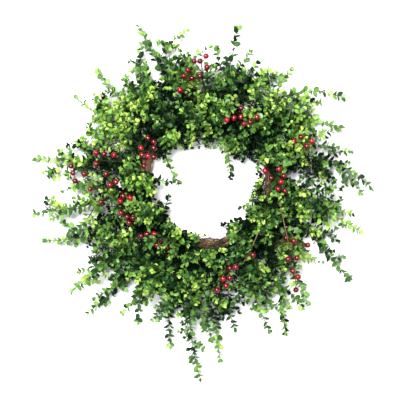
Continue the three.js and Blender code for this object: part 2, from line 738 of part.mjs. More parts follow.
/** A berry and its stalk as one body: the stalk grows out of the face that looks at the stem. */
function berryOnStalk(berry, from) {
  const towards = from.clone().sub(berry).normalize();
  const ball = mergeVertices(
    new THREE.BufferGeometry().setAttribute(
      "position",
      new THREE.IcosahedronGeometry(BERRY_RADIUS, 0).getAttribute("position"),
    ),
    1e-3,
  );
  const corners = ball.attributes.position;
  const corner = (_, i) => new Vector3().fromBufferAttribute(corners, i);
  const vertices = Array.from({ length: corners.count }, corner);
  const faces = Array.from({ length: 20 }, (_, i) => [...ball.index.array.slice(3 * i, 3 * i + 3)]);
  const open = faces.shift();
  const faceMiddle = open.reduce((sum, i) => sum.add(vertices[i]), new Vector3()).normalize();
  const turn = new THREE.Quaternion().setFromUnitVectors(faceMiddle, towards);
  vertices.forEach((v) => v.applyQuaternion(turn).add(berry));
  const radial = open.map((i) => {
    const away = vertices[i].clone().sub(berry);
    return away.addScaledVector(towards, -away.dot(towards)).setLength(STALK_RADIUS);
  });
  const neck = berry.clone().addScaledVector(towards, 0.92 * BERRY_RADIUS);
  radial.forEach((r) => vertices.push(neck.clone().add(r)));
  radial.forEach((r) => vertices.push(from.clone().addScaledVector(r, FOOT_SHARE)));
  const first = corners.count;
  for (let k = 0; k < 3; k += 1) {
    const next = (k + 1) % 3;
    const rings = [open, [first, first + 1, first + 2], [first + 3, first + 4, first + 5]];
    for (let level = 0; level < 2; level += 1) {
      const [a, b] = [rings[level][k], rings[level][next]];
      const [c, d] = [rings[level + 1][k], rings[level + 1][next]];
      faces.push([a, b, d], [a, d, c]);
    }
  }
  faces.push([first + 3, first + 4, first + 5]);
  return solidOf(vertices, faces);
}

/** A berry pick: its stem and its berries on stalks, in one piece. */
function pickSolid({ stem, stalks }) {
  const pieces = [stick(pickBreaks().map((t) => stem.getPoint(t)), STEM_RADIUS)];
  for (const { berry, from } of stalks) pieces.push(berryOnStalk(berry, from));
  return fused(pieces);
}

const bark = new THREE.MeshStandardMaterial({ color: 0x7a5236, roughness: 0.9, metalness: 0 });
const berryRed = new THREE.MeshStandardMaterial({ color: 0xb5091f, roughness: 0.15, metalness: 0 });

/** A spray's green, from deep to yellow-green. */
function leafGreen(bright) {
  const color = new THREE.Color(0x1f4a24).lerp(new THREE.Color(0x86b83a), bright);
  return new THREE.MeshStandardMaterial({ color, roughness: 0.5, metalness: 0 });
}

const wreath = new THREE.Group();

/** Adds a solid to the wreath as a named mesh. */
function addPiece(name, solid, material) {
  const mesh = new THREE.Mesh(geometryFrom(solid), material);
  mesh.name = name;
  wreath.add(mesh);
}

for (const vine of VINES) {
  addPiece(vine.name, vineSolid(vine), bark);
  for (let i = 0; i < 360; i += 1) {
    twigSpace.add(vinePoint(vine, i), vine.radius, "ring");
    leafSpace.add(vinePoint(vine, i), vine.radius, "ring");
  }
}

// Berry picks come first, then main stems, then side twigs, so that leaves then fold clear of them all.
const picks = BERRY_PICKS.map((pick, i) => {
  const name = `berry_pick_${i + 1}`;
  const { stem, stalks } = pickCurves(pick, name);
  pointsAlong(stem, pickBreaks(), 1.5).forEach((p) => leafSpace.add(p, STEM_RADIUS, name));
  for (const { berry, from } of stalks) {
    const steps = Math.ceil(from.distanceTo(berry) / 1.5);
    for (const space of [twigSpace, leafSpace]) {
      space.add(berry, BERRY_RADIUS, name);
      for (let s = 0; s < steps; s += 1) space.add(from.clone().lerp(berry, s / steps), STALK_RADIUS, name);
    }
  }
  return { name, stem, stalks };
});
const sprays = [
  ...INNER_SPRAYS.map((spray) => ({ ...spray, kind: "inner_spray" })),
  ...FRONT_SPRAYS.map((spray) => ({ ...spray, kind: "front_spray" })),
  ...OUTER_SPRAYS.map((spray) => ({ ...spray, kind: "outer_spray" })),
].map((spray, index, all) => {
  const number = index - all.findIndex((other) => other.kind === spray.kind) + 1;
  return { ...spray, name: `${spray.kind}_${number}` };
});
const mains = sprays.map((spray) => mainStem(spray, spray.name));
const branched = sprays.map((spray, i) => {
  const { name, bright } = spray;
  return { name, bright, curves: sprayCurves(spray, mains[i], i, name) };
});
branched.forEach(({ name, curves }) =>
  curves.forEach(({ curve, radius, stations }, i) => {
    pointsAlong(curve, stations, 1.5).forEach((p) => leafSpace.add(p, radius, `${name}_${i}`));
  }),
);

picks.forEach((pick) => addPiece(pick.name, pickSolid(pick), berryRed));
branched.forEach(({ name, bright, curves }) => {
  const twigs = curves.map((twig, i) => leafyTwig(twig, `${name}_${i}`));
  addPiece(name, fused(twigs), leafGreen(bright));
});

// The origin goes under the middle of the whole wreath.
const box = new THREE.Box3().setFromObject(wreath);
const middle = box.getCenter(new Vector3());
wreath.position.set(-middle.x, -middle.y, 0);

export default wreath;
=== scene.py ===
"""A eucalyptus wreath with red berries, lying on its back and seen from straight above.

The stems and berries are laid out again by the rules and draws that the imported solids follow, in
millimetres round the ring's middle. Finer leaves, bark and berries then take the solids' places.
"""

import logging
import math
from dataclasses import dataclass, field
from enum import Enum
from typing import Callable, Iterable, Iterator, Sequence

import bpy
import numpy as np
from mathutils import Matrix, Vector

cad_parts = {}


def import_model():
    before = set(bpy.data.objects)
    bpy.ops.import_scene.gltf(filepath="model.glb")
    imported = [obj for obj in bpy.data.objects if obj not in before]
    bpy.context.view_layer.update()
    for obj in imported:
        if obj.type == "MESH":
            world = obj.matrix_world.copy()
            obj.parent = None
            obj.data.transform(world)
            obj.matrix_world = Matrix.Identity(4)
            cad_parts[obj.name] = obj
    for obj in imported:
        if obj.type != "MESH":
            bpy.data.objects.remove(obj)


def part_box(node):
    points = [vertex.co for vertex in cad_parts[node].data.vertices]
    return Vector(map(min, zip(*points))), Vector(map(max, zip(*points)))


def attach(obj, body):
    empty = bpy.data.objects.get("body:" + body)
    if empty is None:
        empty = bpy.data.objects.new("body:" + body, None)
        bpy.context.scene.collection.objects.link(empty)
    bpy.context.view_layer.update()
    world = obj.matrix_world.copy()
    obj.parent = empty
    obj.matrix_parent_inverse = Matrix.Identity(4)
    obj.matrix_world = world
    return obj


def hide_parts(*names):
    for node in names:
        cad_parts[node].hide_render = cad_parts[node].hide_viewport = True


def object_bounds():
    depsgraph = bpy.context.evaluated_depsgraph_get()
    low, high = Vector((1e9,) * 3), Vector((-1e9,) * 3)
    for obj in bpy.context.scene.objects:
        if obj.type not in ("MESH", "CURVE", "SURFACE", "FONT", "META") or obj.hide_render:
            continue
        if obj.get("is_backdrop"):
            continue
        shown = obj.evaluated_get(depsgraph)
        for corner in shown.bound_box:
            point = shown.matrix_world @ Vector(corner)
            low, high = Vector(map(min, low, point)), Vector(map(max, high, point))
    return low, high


LOG = logging.getLogger("wreath")

Array = np.ndarray
Chance = np.random.Generator
Piece, Material, NodeSocket = bpy.types.Object, bpy.types.Material, bpy.types.NodeSocket
Pair = tuple[float, float]
Triple = tuple[float, float, float]
Colour = Triple

MM = 0.001
UP = np.array([0.0, 0.0, 1.0])
LEVEL = np.array([1.0, 1.0, 0.0])

# The radii of a berry and of the main stem of a spray or pick, in millimetres.
BERRY_RADIUS, STEM_RADIUS = 5.4, 1.3
# How far a tube's end stands out past its last ring, in radii: drawn in to a point, or as a low dome.
POINT_REACH, DOME_REACH = 1.6, 0.4
# How far a stem's foot is sunk past its seat, in millimetres.
FOOT_SUNK = 1.6
# The numbers of the two materials of a spray, and of a pick.
STEM_MATERIAL, LEAF_MATERIAL = 0, 1
STALK_MATERIAL, BERRY_MATERIAL = 0, 1


# Small helpers for points and draws.


def draws_from(seed: int) -> Iterator[float]:
    """Gives draws from 0 to 1, as the solids' layout draws them.

    Args:
        seed: where the draws start.

    Yields:
        The next draw.
    """
    while True:
        seed = (seed * 1664525 + 1013904223) & 0xFFFFFFFF
        yield seed / 4294967296


def unit(vectors: Array) -> Array:
    """Gives one vector, or rows of vectors, the length 1."""
    lengths = np.linalg.norm(vectors, axis=-1, keepdims=True)
    return vectors / np.maximum(lengths, 1e-12)


def turned(vector: Array, degrees: float) -> Array:
    """Turns a vector round the upright axis, anticlockwise as seen from above."""
    c, s = math.cos(math.radians(degrees)), math.sin(math.radians(degrees))
    return np.array([c * vector[0] - s * vector[1], s * vector[0] + c * vector[1], vector[2]])


def apart(first: float | Array, second: float) -> float | Array:
    """Gives how far apart two directions are, in degrees, from 0 to 180."""
    return abs((first - second + 180) % 360 - 180)


def in_scene(name: str, data: bpy.types.ID) -> Piece:
    """Makes an object and puts it in the scene.

    Args:
        name: its name.
        data: its mesh, lamp or camera.

    Returns:
        The object.
    """
    made = bpy.data.objects.new(name, data)
    bpy.context.scene.collection.objects.link(made)
    return made


@dataclass(frozen=True)
class Curve:
    """A quadratic curve from a start to an end, drawn towards a control point."""

    start: Array
    control: Array
    end: Array

    def at(self, t: float | Array) -> Array:
        """Gives the point, or the rows of points, at t from 0 to 1."""
        t = np.asarray(t, float)[..., None]
        return (1 - t) ** 2 * self.start + 2 * t * (1 - t) * self.control + t**2 * self.end

    def ahead(self, t: float | Array) -> Array:
        """Gives the unit direction, or rows of directions, at t."""
        t = np.asarray(t, float)[..., None]
        return unit(2 * (1 - t) * (self.control - self.start) + 2 * t * (self.end - self.control))

    def lengths(self, parts: int = 200) -> Array:
        """Gives the length run through at each of the evenly spaced values of t."""
        steps = np.linalg.norm(np.diff(self.at(np.linspace(0, 1, parts + 1)), axis=0), axis=1)
        return np.concatenate([[0.0], np.cumsum(steps)])

    def length(self) -> float:
        """Gives the whole length."""
        return float(self.lengths()[-1])

    def t_at(self, run: Array) -> Array:
        """Gives t where the length run through is as asked."""
        lengths = self.lengths()
        return np.interp(run, lengths, np.linspace(0, 1, len(lengths)))


# The layout, in millimetres round the ring's middle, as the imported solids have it.


@dataclass(frozen=True)
class Photo:
    """The photograph's scale and the places of its own middle and of the ring's, in pixels."""

    mm_per_pixel: float = 1.85
    middle: Pair = (200.0, 200.0)
    ring_middle: Pair = (207.5, 181.0)
    eye_height: float = 1750.0

    def place(self, seen: Sequence[float], height: float) -> Array:
        """Turns a pixel and a height into a point.

        Args:
            seen: the pixel's column and row.
            height: the point's height above the floor.

        Returns:
            The point, measured from the ring's middle.
        """
        shrink = self.mm_per_pixel * (1 - height / self.eye_height)
        off_x = (self.ring_middle[0] - self.middle[0]) * self.mm_per_pixel
        off_y = (self.middle[1] - self.ring_middle[1]) * self.mm_per_pixel
        x = (seen[0] - self.middle[0]) * shrink - off_x
        y = (self.middle[1] - seen[1]) * shrink - off_y
        return np.array([x, y, height])


@dataclass(frozen=True)
class Vine:
    """One vine of the ring: its radius, its turn in the twist and the sides of its solid."""

    name: str
    radius: float
    phase: float
    sides: int


def across_ring(ring_angle: float, phase: float) -> Array:
    """A direction in the ring's cross-section: 0 points outward and 90 to the front.

    Args:
        ring_angle: where round the ring, in degrees.
        phase: the direction in the cross-section, in degrees.

    Returns:
        The unit direction.
    """
    around, tilt = math.radians(ring_angle), math.radians(phase)
    flat = math.cos(tilt)
    return np.array([math.cos(around) * flat, math.sin(around) * flat, math.sin(tilt)])


@dataclass(frozen=True)
class RingLayout:
    """The ring of four vines twisted round each other."""

    radius: float = 117.0
    height: float = 10.4
    turns: int = 3
    steps: int = 36
    twist_radius: float = 6.4
    seat_gap: float = 0.38
    foot_radius: float = 0.715
    vines: tuple[Vine, ...] = (
        Vine("thick_vine_1", 5.0, 0.0, 6),
        Vine("thin_vine_1", 3.4, 90.0, 5),
        Vine("thick_vine_2", 5.0, 180.0, 6),
        Vine("thin_vine_2", 3.4, 270.0, 5),
    )

    def middle(self, ring_angle: float) -> Array:
        """Gives the point that the vines are twisted round at an angle round the ring."""
        return across_ring(ring_angle, 0) * self.radius + UP * self.height

    def point(self, vine: Vine, ring_angle: float) -> Array:
        """Gives a point of a vine's middle line at an angle round the ring."""
        off = self.twist_radius * across_ring(ring_angle, self.turns * ring_angle + vine.phase)
        return self.middle(ring_angle) + off

    def bark_radius(self, vine: Vine, phase: float) -> float:
        """Gives how thick a vine's solid is towards one side.

        Args:
            vine: the vine.
            phase: the side, as a direction in the ring's cross-section.

        Returns:
            How far its bark lies from its middle line.
        """
        face = 360 / vine.sides
        off_face = (phase + 90 + face / 2) % face - face / 2
        to_flat = vine.radius * math.cos(math.pi / vine.sides)
        return to_flat / math.cos(math.radians(off_face))

    def seat(self, ring_angle: float, side: float, towards: Array) -> Array:
        """Finds where a stem stands on the ring.

        Args:
            ring_angle: where round the ring.
            side: the side of the cross-section that it stands on.
            towards: the point that the stem first grows towards.

        Returns:
            A point a small gap off the bark of the vine that lies farthest to that side.
        """

        def off(vine: Vine) -> float:
            """Gives how far a vine is from the side."""
            return apart(self.turns * ring_angle + vine.phase, side)

        vine = min(self.vines, key=off)
        phase = self.turns * ring_angle + vine.phase
        normal = across_ring(ring_angle, phase)
        step = 360 / self.steps
        section = math.floor(ring_angle / step)
        before, after = self.point(vine, section * step), self.point(vine, (section + 1) * step)
        middle = before + (after - before) * (ring_angle / step - section)
        slant = math.sqrt(max(0.0, 1 - float(unit(towards - middle) @ normal) ** 2))
        return middle + normal * (self.bark_radius(vine, phase) + self.seat_gap + self.foot_radius * slant)


class SprayKind(Enum):
    """Which way a spray grows out of the ring. The value begins its node's name."""

    INNER = "inner_spray"
    FRONT = "front_spray"
    OUTER = "outer_spray"


@dataclass(frozen=True)
class SprayPlan:
    """Where a spray stands and grows to.

    root is its angle round the ring and side its side of the ring. middle and tip are each a pixel and a
    height. tips are those of side twigs that show in the photograph, each after the share of the main stem
    that the twig leaves. A front spray leans round the ring by lean degrees and reaches out to reach.
    """

    kind: SprayKind
    root: float
    bright: float
    side: float = 90.0
    middle: Triple = (0.0, 0.0, 0.0)
    tip: Triple = (0.0, 0.0, 0.0)
    twigs: int = 4
    lean: float = 0.0
    reach: float = 0.0
    tips: tuple[tuple[float, float, float, float], ...] = ()


def _outer(root: float, side: float, middle: tuple, tip: tuple, bright: float, *tips: tuple) -> SprayPlan:
    """Gives the plan of an outer spray."""
    return SprayPlan(SprayKind.OUTER, root, bright, side, middle, tip, tips=tips)


def _front(root: float, lean: float, reach: float, bright: float) -> SprayPlan:
    """Gives the plan of a front spray."""
    return SprayPlan(SprayKind.FRONT, root, bright, lean=lean, reach=reach)


def _inner(root: float, side: float, middle: tuple, tip: tuple, twigs: int, bright: float) -> SprayPlan:
    """Gives the plan of an inner spray."""
    return SprayPlan(SprayKind.INNER, root, bright, side, middle, tip, twigs)


SPRAYS: tuple[SprayPlan, ...] = (
    _inner(137, 140, (168, 163, 38), (179, 183, 22), 0, 0.5),
    _inner(178, 150, (157, 180, 34), (171, 182, 22), 0, 0.5),
    _inner(-141, 160, (163, 212, 28), (169, 197, 17), 0, 0.2),
    _inner(73, 150, (228, 150, 36), (231, 178, 20), 1, 0.45),
    _inner(46, 160, (247, 150, 24), (243, 161, 14), 0, 0.15),
    _inner(2, 150, (256, 196, 32), (240, 208, 18), 1, 0.45),
    _inner(-38, 160, (241, 221, 28), (223, 224, 16), 0, 0.2),
    _front(100, 30, 146, 0.35),
    _front(71, 28, 152, 0.7),
    _front(42, 30, 146, 0.35),
    _front(12, 28, 152, 0.3),
    _front(-17, 30, 148, 0.45),
    _front(-47, 28, 150, 0.3),
    _front(-76, 30, 146, 0.5),
    _front(-109, 27, 150, 0.5),
    _front(-134, 30, 148, 0.45),
    _front(-164, 28, 150, 0.35),
    _front(139, 20, 156, 0.7),
    _front(118, 24, 150, 0.6),
    _outer(84, 30, (229, 68, 36), (238, 23, 21), 0.35),
    _outer(70, 0, (247, 84, 18), (282, 77, 12), 0.4),
    _outer(55, 45, (288, 95, 38), (342, 97, 24), 0.55),
    _outer(41, 0, (292, 117, 18), (338, 128, 12), 0.65),
    _outer(27, 40, (290, 144, 36), (337, 147, 22), 0.3, (0.4, 341, 127, 26)),
    _outer(13, 0, (322, 158, 20), (372, 188, 12), 0.55, (0.5, 361, 193, 14)),
    _outer(-2, 40, (312, 203, 36), (360, 231, 22), 0.8, (0.5, 352, 214, 22)),
    _outer(-16, 0, (306, 230, 18), (348, 278, 12), 0.25),
    _outer(-32, 40, (284, 252, 36), (308, 303, 22), 0.4, (0.4, 322, 262, 22)),
    _outer(-45, 0, (277, 284, 18), (285, 333, 12), 0.3),
    _outer(-59, 40, (249, 278, 36), (269, 330, 20), 0.35, (0.45, 282, 313, 22)),
    _outer(-76, 0, (216, 302, 18), (220, 359, 12), 0.45),
    _outer(-91, 40, (190, 306, 38), (201, 381, 20), 0.5),
    _outer(-105, 0, (172, 290, 18), (170, 346, 12), 0.3, (0.4, 153, 319, 14)),
    _outer(-119, 40, (147, 275, 36), (138, 322, 20), 0.35, (0.6, 123, 313, 18)),
    _outer(-133, 0, (132, 271, 18), (89, 312, 12), 0.2, (0.5, 94, 298, 14)),
    _outer(-147, 40, (112, 256, 38), (72, 291, 22), 0.6, (0.5, 79, 272, 24)),
    _outer(-163, 0, (98, 232, 18), (45, 240, 12), 0.5, (0.5, 62, 223, 14)),
    _outer(-178, 40, (92, 203, 36), (29, 214, 20), 0.35, (0.5, 52, 219, 24)),
    _outer(166, 0, (96, 160, 18), (36, 159, 12), 0.65, (0.5, 44, 172, 14), (0.3, 55, 178, 24)),
    _outer(152, 40, (114, 127, 38), (76, 98, 22), 0.5, (0.5, 94, 96, 20)),
    _outer(139, 0, (124, 104, 18), (98, 71, 12), 0.85),
    _outer(125, 40, (144, 94, 36), (141, 45, 22), 0.6),
    _outer(112, 0, (164, 76, 18), (139, 27, 12), 0.4, (0.66, 187, 31, 20)),
    _outer(99, 40, (184, 76, 38), (210, 47, 24), 0.3),
)


# Where a spray's chosen sprigs end, by its name: each a pixel and a height.
CHOSEN_SPRIGS: dict[str, tuple[Triple, ...]] = {
    "front_spray_10": ((153, 191, 36), (154, 199, 30), (151, 184, 32)),
    "front_spray_4": ((259, 170, 36), (260, 178, 30), (256, 186, 30), (258, 174, 24)),
    "front_spray_5": ((252, 199, 30), (249, 208, 28), (256, 193, 34)),
    "front_spray_8": ((201, 240, 42), (194, 239, 36), (207, 240, 34)),
    "front_spray_2": ((214, 149, 40), (205, 150, 34)),
    "outer_spray_24": ((158, 42, 26), (180, 50, 26), (171, 60, 24), (188, 54, 22)),
    "outer_spray_23": ((130, 62, 26), (131, 71, 22)),
    "outer_spray_22": ((107, 91, 22), (105, 99, 24)),
    "outer_spray_21": ((90, 124, 28), (92, 133, 24), (94, 122, 22)),
    "outer_spray_20": (
        (68, 146, 24), (60, 151, 20), (77, 142, 24), (84, 175, 20), (68, 178, 20), (69, 150, 28),
    ),
    "outer_spray_19": (
        (70, 188, 26), (80, 187, 24), (53, 197, 24), (100, 181, 34), (62, 191, 20), (47, 199, 18),
    ),
    "outer_spray_18": ((66, 242, 20), (76, 245, 22)),
    "outer_spray_17": ((105, 275, 26), (88, 283, 24), (98, 281, 20), (110, 279, 22), (82, 286, 18)),
    "outer_spray_14": ((156, 307, 20),),
    "outer_spray_13": (
        (181, 323, 28), (185, 337, 24), (188, 350, 22), (178, 314, 30), (179, 331, 22), (190, 359, 18),
    ),
    "outer_spray_12": ((222, 318, 20),),
    "outer_spray_11": ((246, 302, 28), (252, 309, 24)),
    "outer_spray_9": ((292, 285, 26), (300, 267, 26)),
    "outer_spray_8": ((333, 251, 20), (336, 229, 18)),
    "outer_spray_7": (
        (332, 197, 30), (339, 205, 28), (343, 226, 24), (330, 188, 26), (340, 198, 22), (336, 203, 20),
    ),
    "outer_spray_6": (
        (318, 180, 26), (325, 183, 22), (341, 189, 20), (334, 181, 24), (312, 182, 20), (301, 176, 30),
    ),
    "outer_spray_5": ((325, 131, 28),),
}

# Places that no chance sprig ends in: each a pixel and a radius in pixels.
BARE_SPOTS: tuple[Triple, ...] = (
    (148, 44, 8),
    (246, 56, 10),
    (286, 82, 12),
    (334, 146, 13),
    (250, 152, 6),
    (316, 256, 10),
    (272, 304, 9),
    (105, 294, 10),
    (80, 215, 12),
    (62, 222, 8),
)


@dataclass(frozen=True)
class PickPlan:
    """Where a berry pick stands on the ring, how high its cluster is, and its berries' pixels."""

    root: float
    height: float
    berries: tuple[Pair, ...]


PICKS: tuple[PickPlan, ...] = (
    PickPlan(
        91,
        50,
        ((206, 56), (200, 61), (207, 67), (188, 70), (184, 76), (200, 76), (180, 90), (194, 61), (192, 78)),
    ),
    PickPlan(78, 72, ((241, 108), (257, 117), (250, 122), (241, 117), (227, 120), (234, 118), (244, 124))),
    PickPlan(21, 48, ((301, 137), (312, 141), (307, 146), (294, 141))),
    PickPlan(17, 70, ((284, 176), (281, 182), (285, 191), (271, 178), (279, 169), (265, 171), (278, 189))),
    PickPlan(
        -38,
        52,
        ((308, 245), (294, 241), (293, 271), (298, 277), (296, 290), (288, 259), (297, 258), (286, 238)),
    ),
    PickPlan(-70, 72, ((230, 268), (223, 279), (230, 278), (217, 290), (226, 286), (236, 267), (253, 255))),
    PickPlan(-152, 70, ((121, 213), (127, 217), (133, 218), (129, 223), (101, 202), (120, 201))),
    PickPlan(-127, 66, ((154, 234), (141, 236), (147, 234), (161, 240), (157, 245), (167, 247))),
    PickPlan(
        146,
        66,
        ((148, 138), (154, 142), (141, 148), (148, 156), (142, 155), (154, 148), (144, 166), (154, 157)),
    ),
    PickPlan(158, 60, ((104, 154), (96, 164), (114, 155), (96, 153))),
    PickPlan(174, 44, ((71, 166), (73, 173), (75, 181), (84, 174))),
    PickPlan(-174, 70, ((106, 174), (116, 182), (110, 185), (90, 189), (123, 196), (130, 198))),
)


class TakenSpace:
    """Points that are taken, each with a radius and an owner."""

    def __init__(self) -> None:
        """Starts with nothing taken."""
        self.points = np.zeros((0, 3))
        self.radii = np.zeros(0)
        self.owners: Array = np.zeros(0, dtype=object)

    def add(self, points: Array, radius: float, owner: str) -> None:
        """Takes points.

        Args:
            points: one point, or rows of points.
            radius: how far round each is taken.
            owner: whom they are taken for.
        """
        points = np.atleast_2d(points)
        self.points = np.vstack([self.points, points])
        self.radii = np.concatenate([self.radii, np.full(len(points), radius)])
        self.owners = np.concatenate([self.owners, np.full(len(points), owner, dtype=object)])

    def all_free(self, points: Array, radius: float, owner: str) -> bool:
        """Tells whether points are clear of other owners' points.

        Args:
            points: rows of points.
            radius: how far round each has to be clear.
            owner: whose own points don't count.

        Returns:
            True where all are clear.
        """
        reach = radius + (self.radii.max() if len(self.radii) else 0.0)
        inside = (self.points > points.min(0) - reach) & (self.points < points.max(0) + reach)
        near = inside.all(axis=1) & (self.owners != owner)
        if not near.any():
            return True
        gaps = np.linalg.norm(points[:, None] - self.points[near][None], axis=2)
        return bool((gaps >= self.radii[near] + radius).all())


@dataclass(frozen=True)
class Stem:
    """A stem's curve, its radius, and its level: 0 the main stem, 1 a side twig, 2 a sprig."""

    curve: Curve
    radius: float
    level: int


@dataclass(frozen=True)
class Berry:
    """A berry's middle and the point of the pick's stem that its stalk leaves."""

    middle: Array
    foot: Array


@dataclass
class Layout:
    """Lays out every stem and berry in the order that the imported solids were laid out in.

    Lengths are in millimetres and turns in degrees. bare_main, bare_twig, twig_start and twig_range are
    shares of a stem's length. A stem that meets another swings by swings and rises by lifts until it is
    clear. It may touch others within main_seat or twig_seat of its foot.
    """

    ring: RingLayout = RingLayout()
    photo: Photo = Photo()
    twig_radius: float = 1.0
    leaf_spacing: float = 21.0
    taper: float = 1.2
    bare_main: float = 0.12
    bare_twig: float = 0.1
    stem_gap: float = 5.0
    step: float = 3.0
    lowest: float = 5.0
    main_seat: float = 11.0
    twig_seat: float = 8.0
    twig_start: float = 0.1
    twig_range: float = 0.46
    twig_reach: float = 0.5
    twig_shortens: float = 0.42
    twig_turns: Pair = (30.0, 46.0)
    twig_lengths: Pair = (0.85, 0.3)
    twig_sinks: float = 0.45
    twig_rise: float = 0.3
    seed_step: int = 7919
    lifts: tuple[float, ...] = (0, 5, -5, 10, -10, 15, -15, 20, -20)
    swings: tuple[float, ...] = (0, 7, -7, 14, -14)
    stalk_radius: float = 0.8
    stalk_places: int = 5
    pick_side: float = 80.0
    pick_arch: float = 0.08
    pick_sinks: float = 10.0
    stalk_step: float = 1.5
    berry_gap: float = 0.5
    berry_lifts: tuple[float, ...] = (0, 6, -6, 12, -12, 18, -18)
    front_middle: Pair = (119.0, 62.0)
    front_tip_height: float = 56.0
    space: TakenSpace = field(default_factory=TakenSpace)

    def __post_init__(self) -> None:
        """Takes the ring's own space."""
        for vine in self.ring.vines:
            points = np.array([self.ring.point(vine, angle) for angle in range(360)])
            self.space.add(points, vine.radius, "ring")

    def main_stations(self, curve: Curve) -> list[float]:
        """Gives where along a main stem its solid's sections are."""
        return self.stations(curve, self.bare_main)

    def twig_stations(self, curve: Curve) -> list[float]:
        """Gives where along a side twig its solid's sections are."""
        return self.stations(curve, self.bare_twig)

    def stations(self, curve: Curve, bare: float) -> list[float]:
        """Gives where along a stem the solid's sections are.

        Args:
            curve: the stem's curve.
            bare: the share of it at its foot that has no leaves.

        Returns:
            The place of the foot, then one for each pair of leaves.
        """
        pairs = max(2, math.floor(curve.length() * (1 - bare) / self.leaf_spacing + 0.5))
        leafy = [bare + (1 - bare) * (1 - (1 - i / pairs) ** self.taper) for i in range(pairs + 1)]
        return [0.0, *leafy]

    def points_along(self, curve: Curve, breaks: Sequence[float]) -> Array:
        """Walks along the straight stretches of a stem's solid.

        Args:
            curve: the stem's curve.
            breaks: where along it one stretch ends and the next begins.

        Returns:
            A point about every step.
        """
        corners = curve.at(np.array(breaks))
        points = [corners[0]]
        for before, after in zip(corners[:-1], corners[1:]):
            count = math.ceil(np.linalg.norm(after - before) / self.step)
            points += [before + (after - before) * (j / count) for j in range(1, count + 1)]
        return np.array(points)

    def bent_clear(
        self, course: Curve, owner: str, seat: float, breaks_of: Callable[[Curve], Sequence[float]]
    ) -> Curve | None:
        """Swings a curve and bends it up or down until it passes clear of other owners' stems.

        Args:
            course: the curve to begin with.
            owner: who owns the stem.
            seat: how far from its start a stem may touch others.
            breaks_of: gives the corners that the curve is built with.

        Returns:
            The clear curve, or None where there is none.
        """
        for swing in self.swings:
            for lift in self.lifts:
                control = turned(course.control - course.start, swing) + course.start + UP * 0.6 * lift
                end = turned(course.end - course.start, swing) + course.start + UP * lift
                curve = Curve(course.start, control, end)
                points = self.points_along(curve, breaks_of(curve))
                off = points[np.linalg.norm(points - course.start, axis=1) > seat]
                if (off[:, 2] >= self.lowest).all() and self.space.all_free(off, self.stem_gap / 2, owner):
                    self.space.add(points, self.stem_gap / 2, owner)
                    return curve
        return None

    @staticmethod
    def through(start: Array, middle: Array, end: Array) -> Curve:
        """Gives the quadratic curve from start to end that passes through the middle."""
        return Curve(start, 2 * middle - 0.5 * start - 0.5 * end, end)

    def course(self, plan: SprayPlan) -> tuple[Array, Array]:
        """Finds where a spray's main stem leads.

        Args:
            plan: the spray's plan.

        Returns:
            The point that the stem passes through and the one that it ends in.
        """
        if plan.kind is not SprayKind.FRONT:
            return self.photo.place(plan.middle, plan.middle[2]), self.photo.place(plan.tip, plan.tip[2])

        def round_ring(radius: float, share: float, height: float) -> Array:
            """Gives a point that leans round the ring by a share of the plan's lean."""
            return across_ring(plan.root - share * plan.lean, 0) * radius + UP * height

        radius, height = self.front_middle
        return round_ring(radius, 0.42, height), round_ring(plan.reach, 1, self.front_tip_height)

    def main_stem(self, plan: SprayPlan, owner: str) -> Curve:
        """Lays out a spray's main stem.

        Args:
            plan: the spray's plan.
            owner: its node's name.

        Returns:
            The stem's curve.
        """
        middle, tip = self.course(plan)
        towards = self.through(self.ring.middle(plan.root), middle, tip).control
        root = self.ring.seat(plan.root, plan.side, towards)
        main = self.bent_clear(self.through(root, middle, tip), owner, self.main_seat, self.main_stations)
        if main is None:
            raise ValueError(f"the main stem of {owner} has no clear way")
        return main

    def spray(self, plan: SprayPlan, main: Curve, index: int, owner: str) -> list[Stem]:
        """Lays out a spray's side twigs.

        Args:
            plan: the spray's plan.
            main: its main stem.
            index: its place in the list of sprays, which gives its seed.
            owner: its node's name.

        Returns:
            The main stem, then the side twigs.
        """
        draws = draws_from(self.seed_step * (index + 1))
        length = float(np.linalg.norm(main.end - main.start))
        first_side = -1 if next(draws) < 0.5 else 1
        inner_stations = self.main_stations(main)[1:-1]
        stems = [Stem(main, STEM_RADIUS, 0)]

        def add(twig: Curve) -> None:
            """Bends a twig clear and adds it, if that can be done."""
            clear = self.bent_clear(twig, owner, self.twig_seat, self.twig_stations)
            if clear is not None:
                stems.append(Stem(clear, self.twig_radius, 1))

        for share, px, py, height in plan.tips:
            along = min(inner_stations, key=lambda t: abs(t - share))
            start, end = main.at(along), self.photo.place((px, py), height)
            ahead = main.ahead(along) * (0.5 * np.linalg.norm(end - start))
            add(Curve(start, 0.5 * (start + ahead + (start + end) / 2), end))
        twigs = plan.twigs - len(plan.tips)
        for j in range(twigs):
            wanted = self.twig_start + self.twig_range * (j + 0.4 * next(draws)) / twigs
            along = min(inner_stations, key=lambda t: abs(t - wanted))
            low_turn, high_turn = self.twig_turns
            turn = first_side * (-1 if j % 2 else 1) * (low_turn + (high_turn - low_turn) * next(draws))
            shortest, spread = self.twig_lengths
            usual = length * (self.twig_reach - self.twig_shortens * along)
            reach = usual * (shortest + spread * next(draws))
            rise = (next(draws) - self.twig_sinks) * self.twig_rise * reach
            start, ahead = main.at(along), main.ahead(along)
            climb = rise + ahead[2] * 0.5 * reach
            flat = unit(np.array([ahead[0], ahead[1], 0.0]))
            end = start + turned(flat, turn * 0.8) * reach + UP * climb
            control = start + turned(flat, turn * 1.3) * reach * 0.5 + UP * 0.7 * climb
            add(Curve(start, control, end))
        return stems

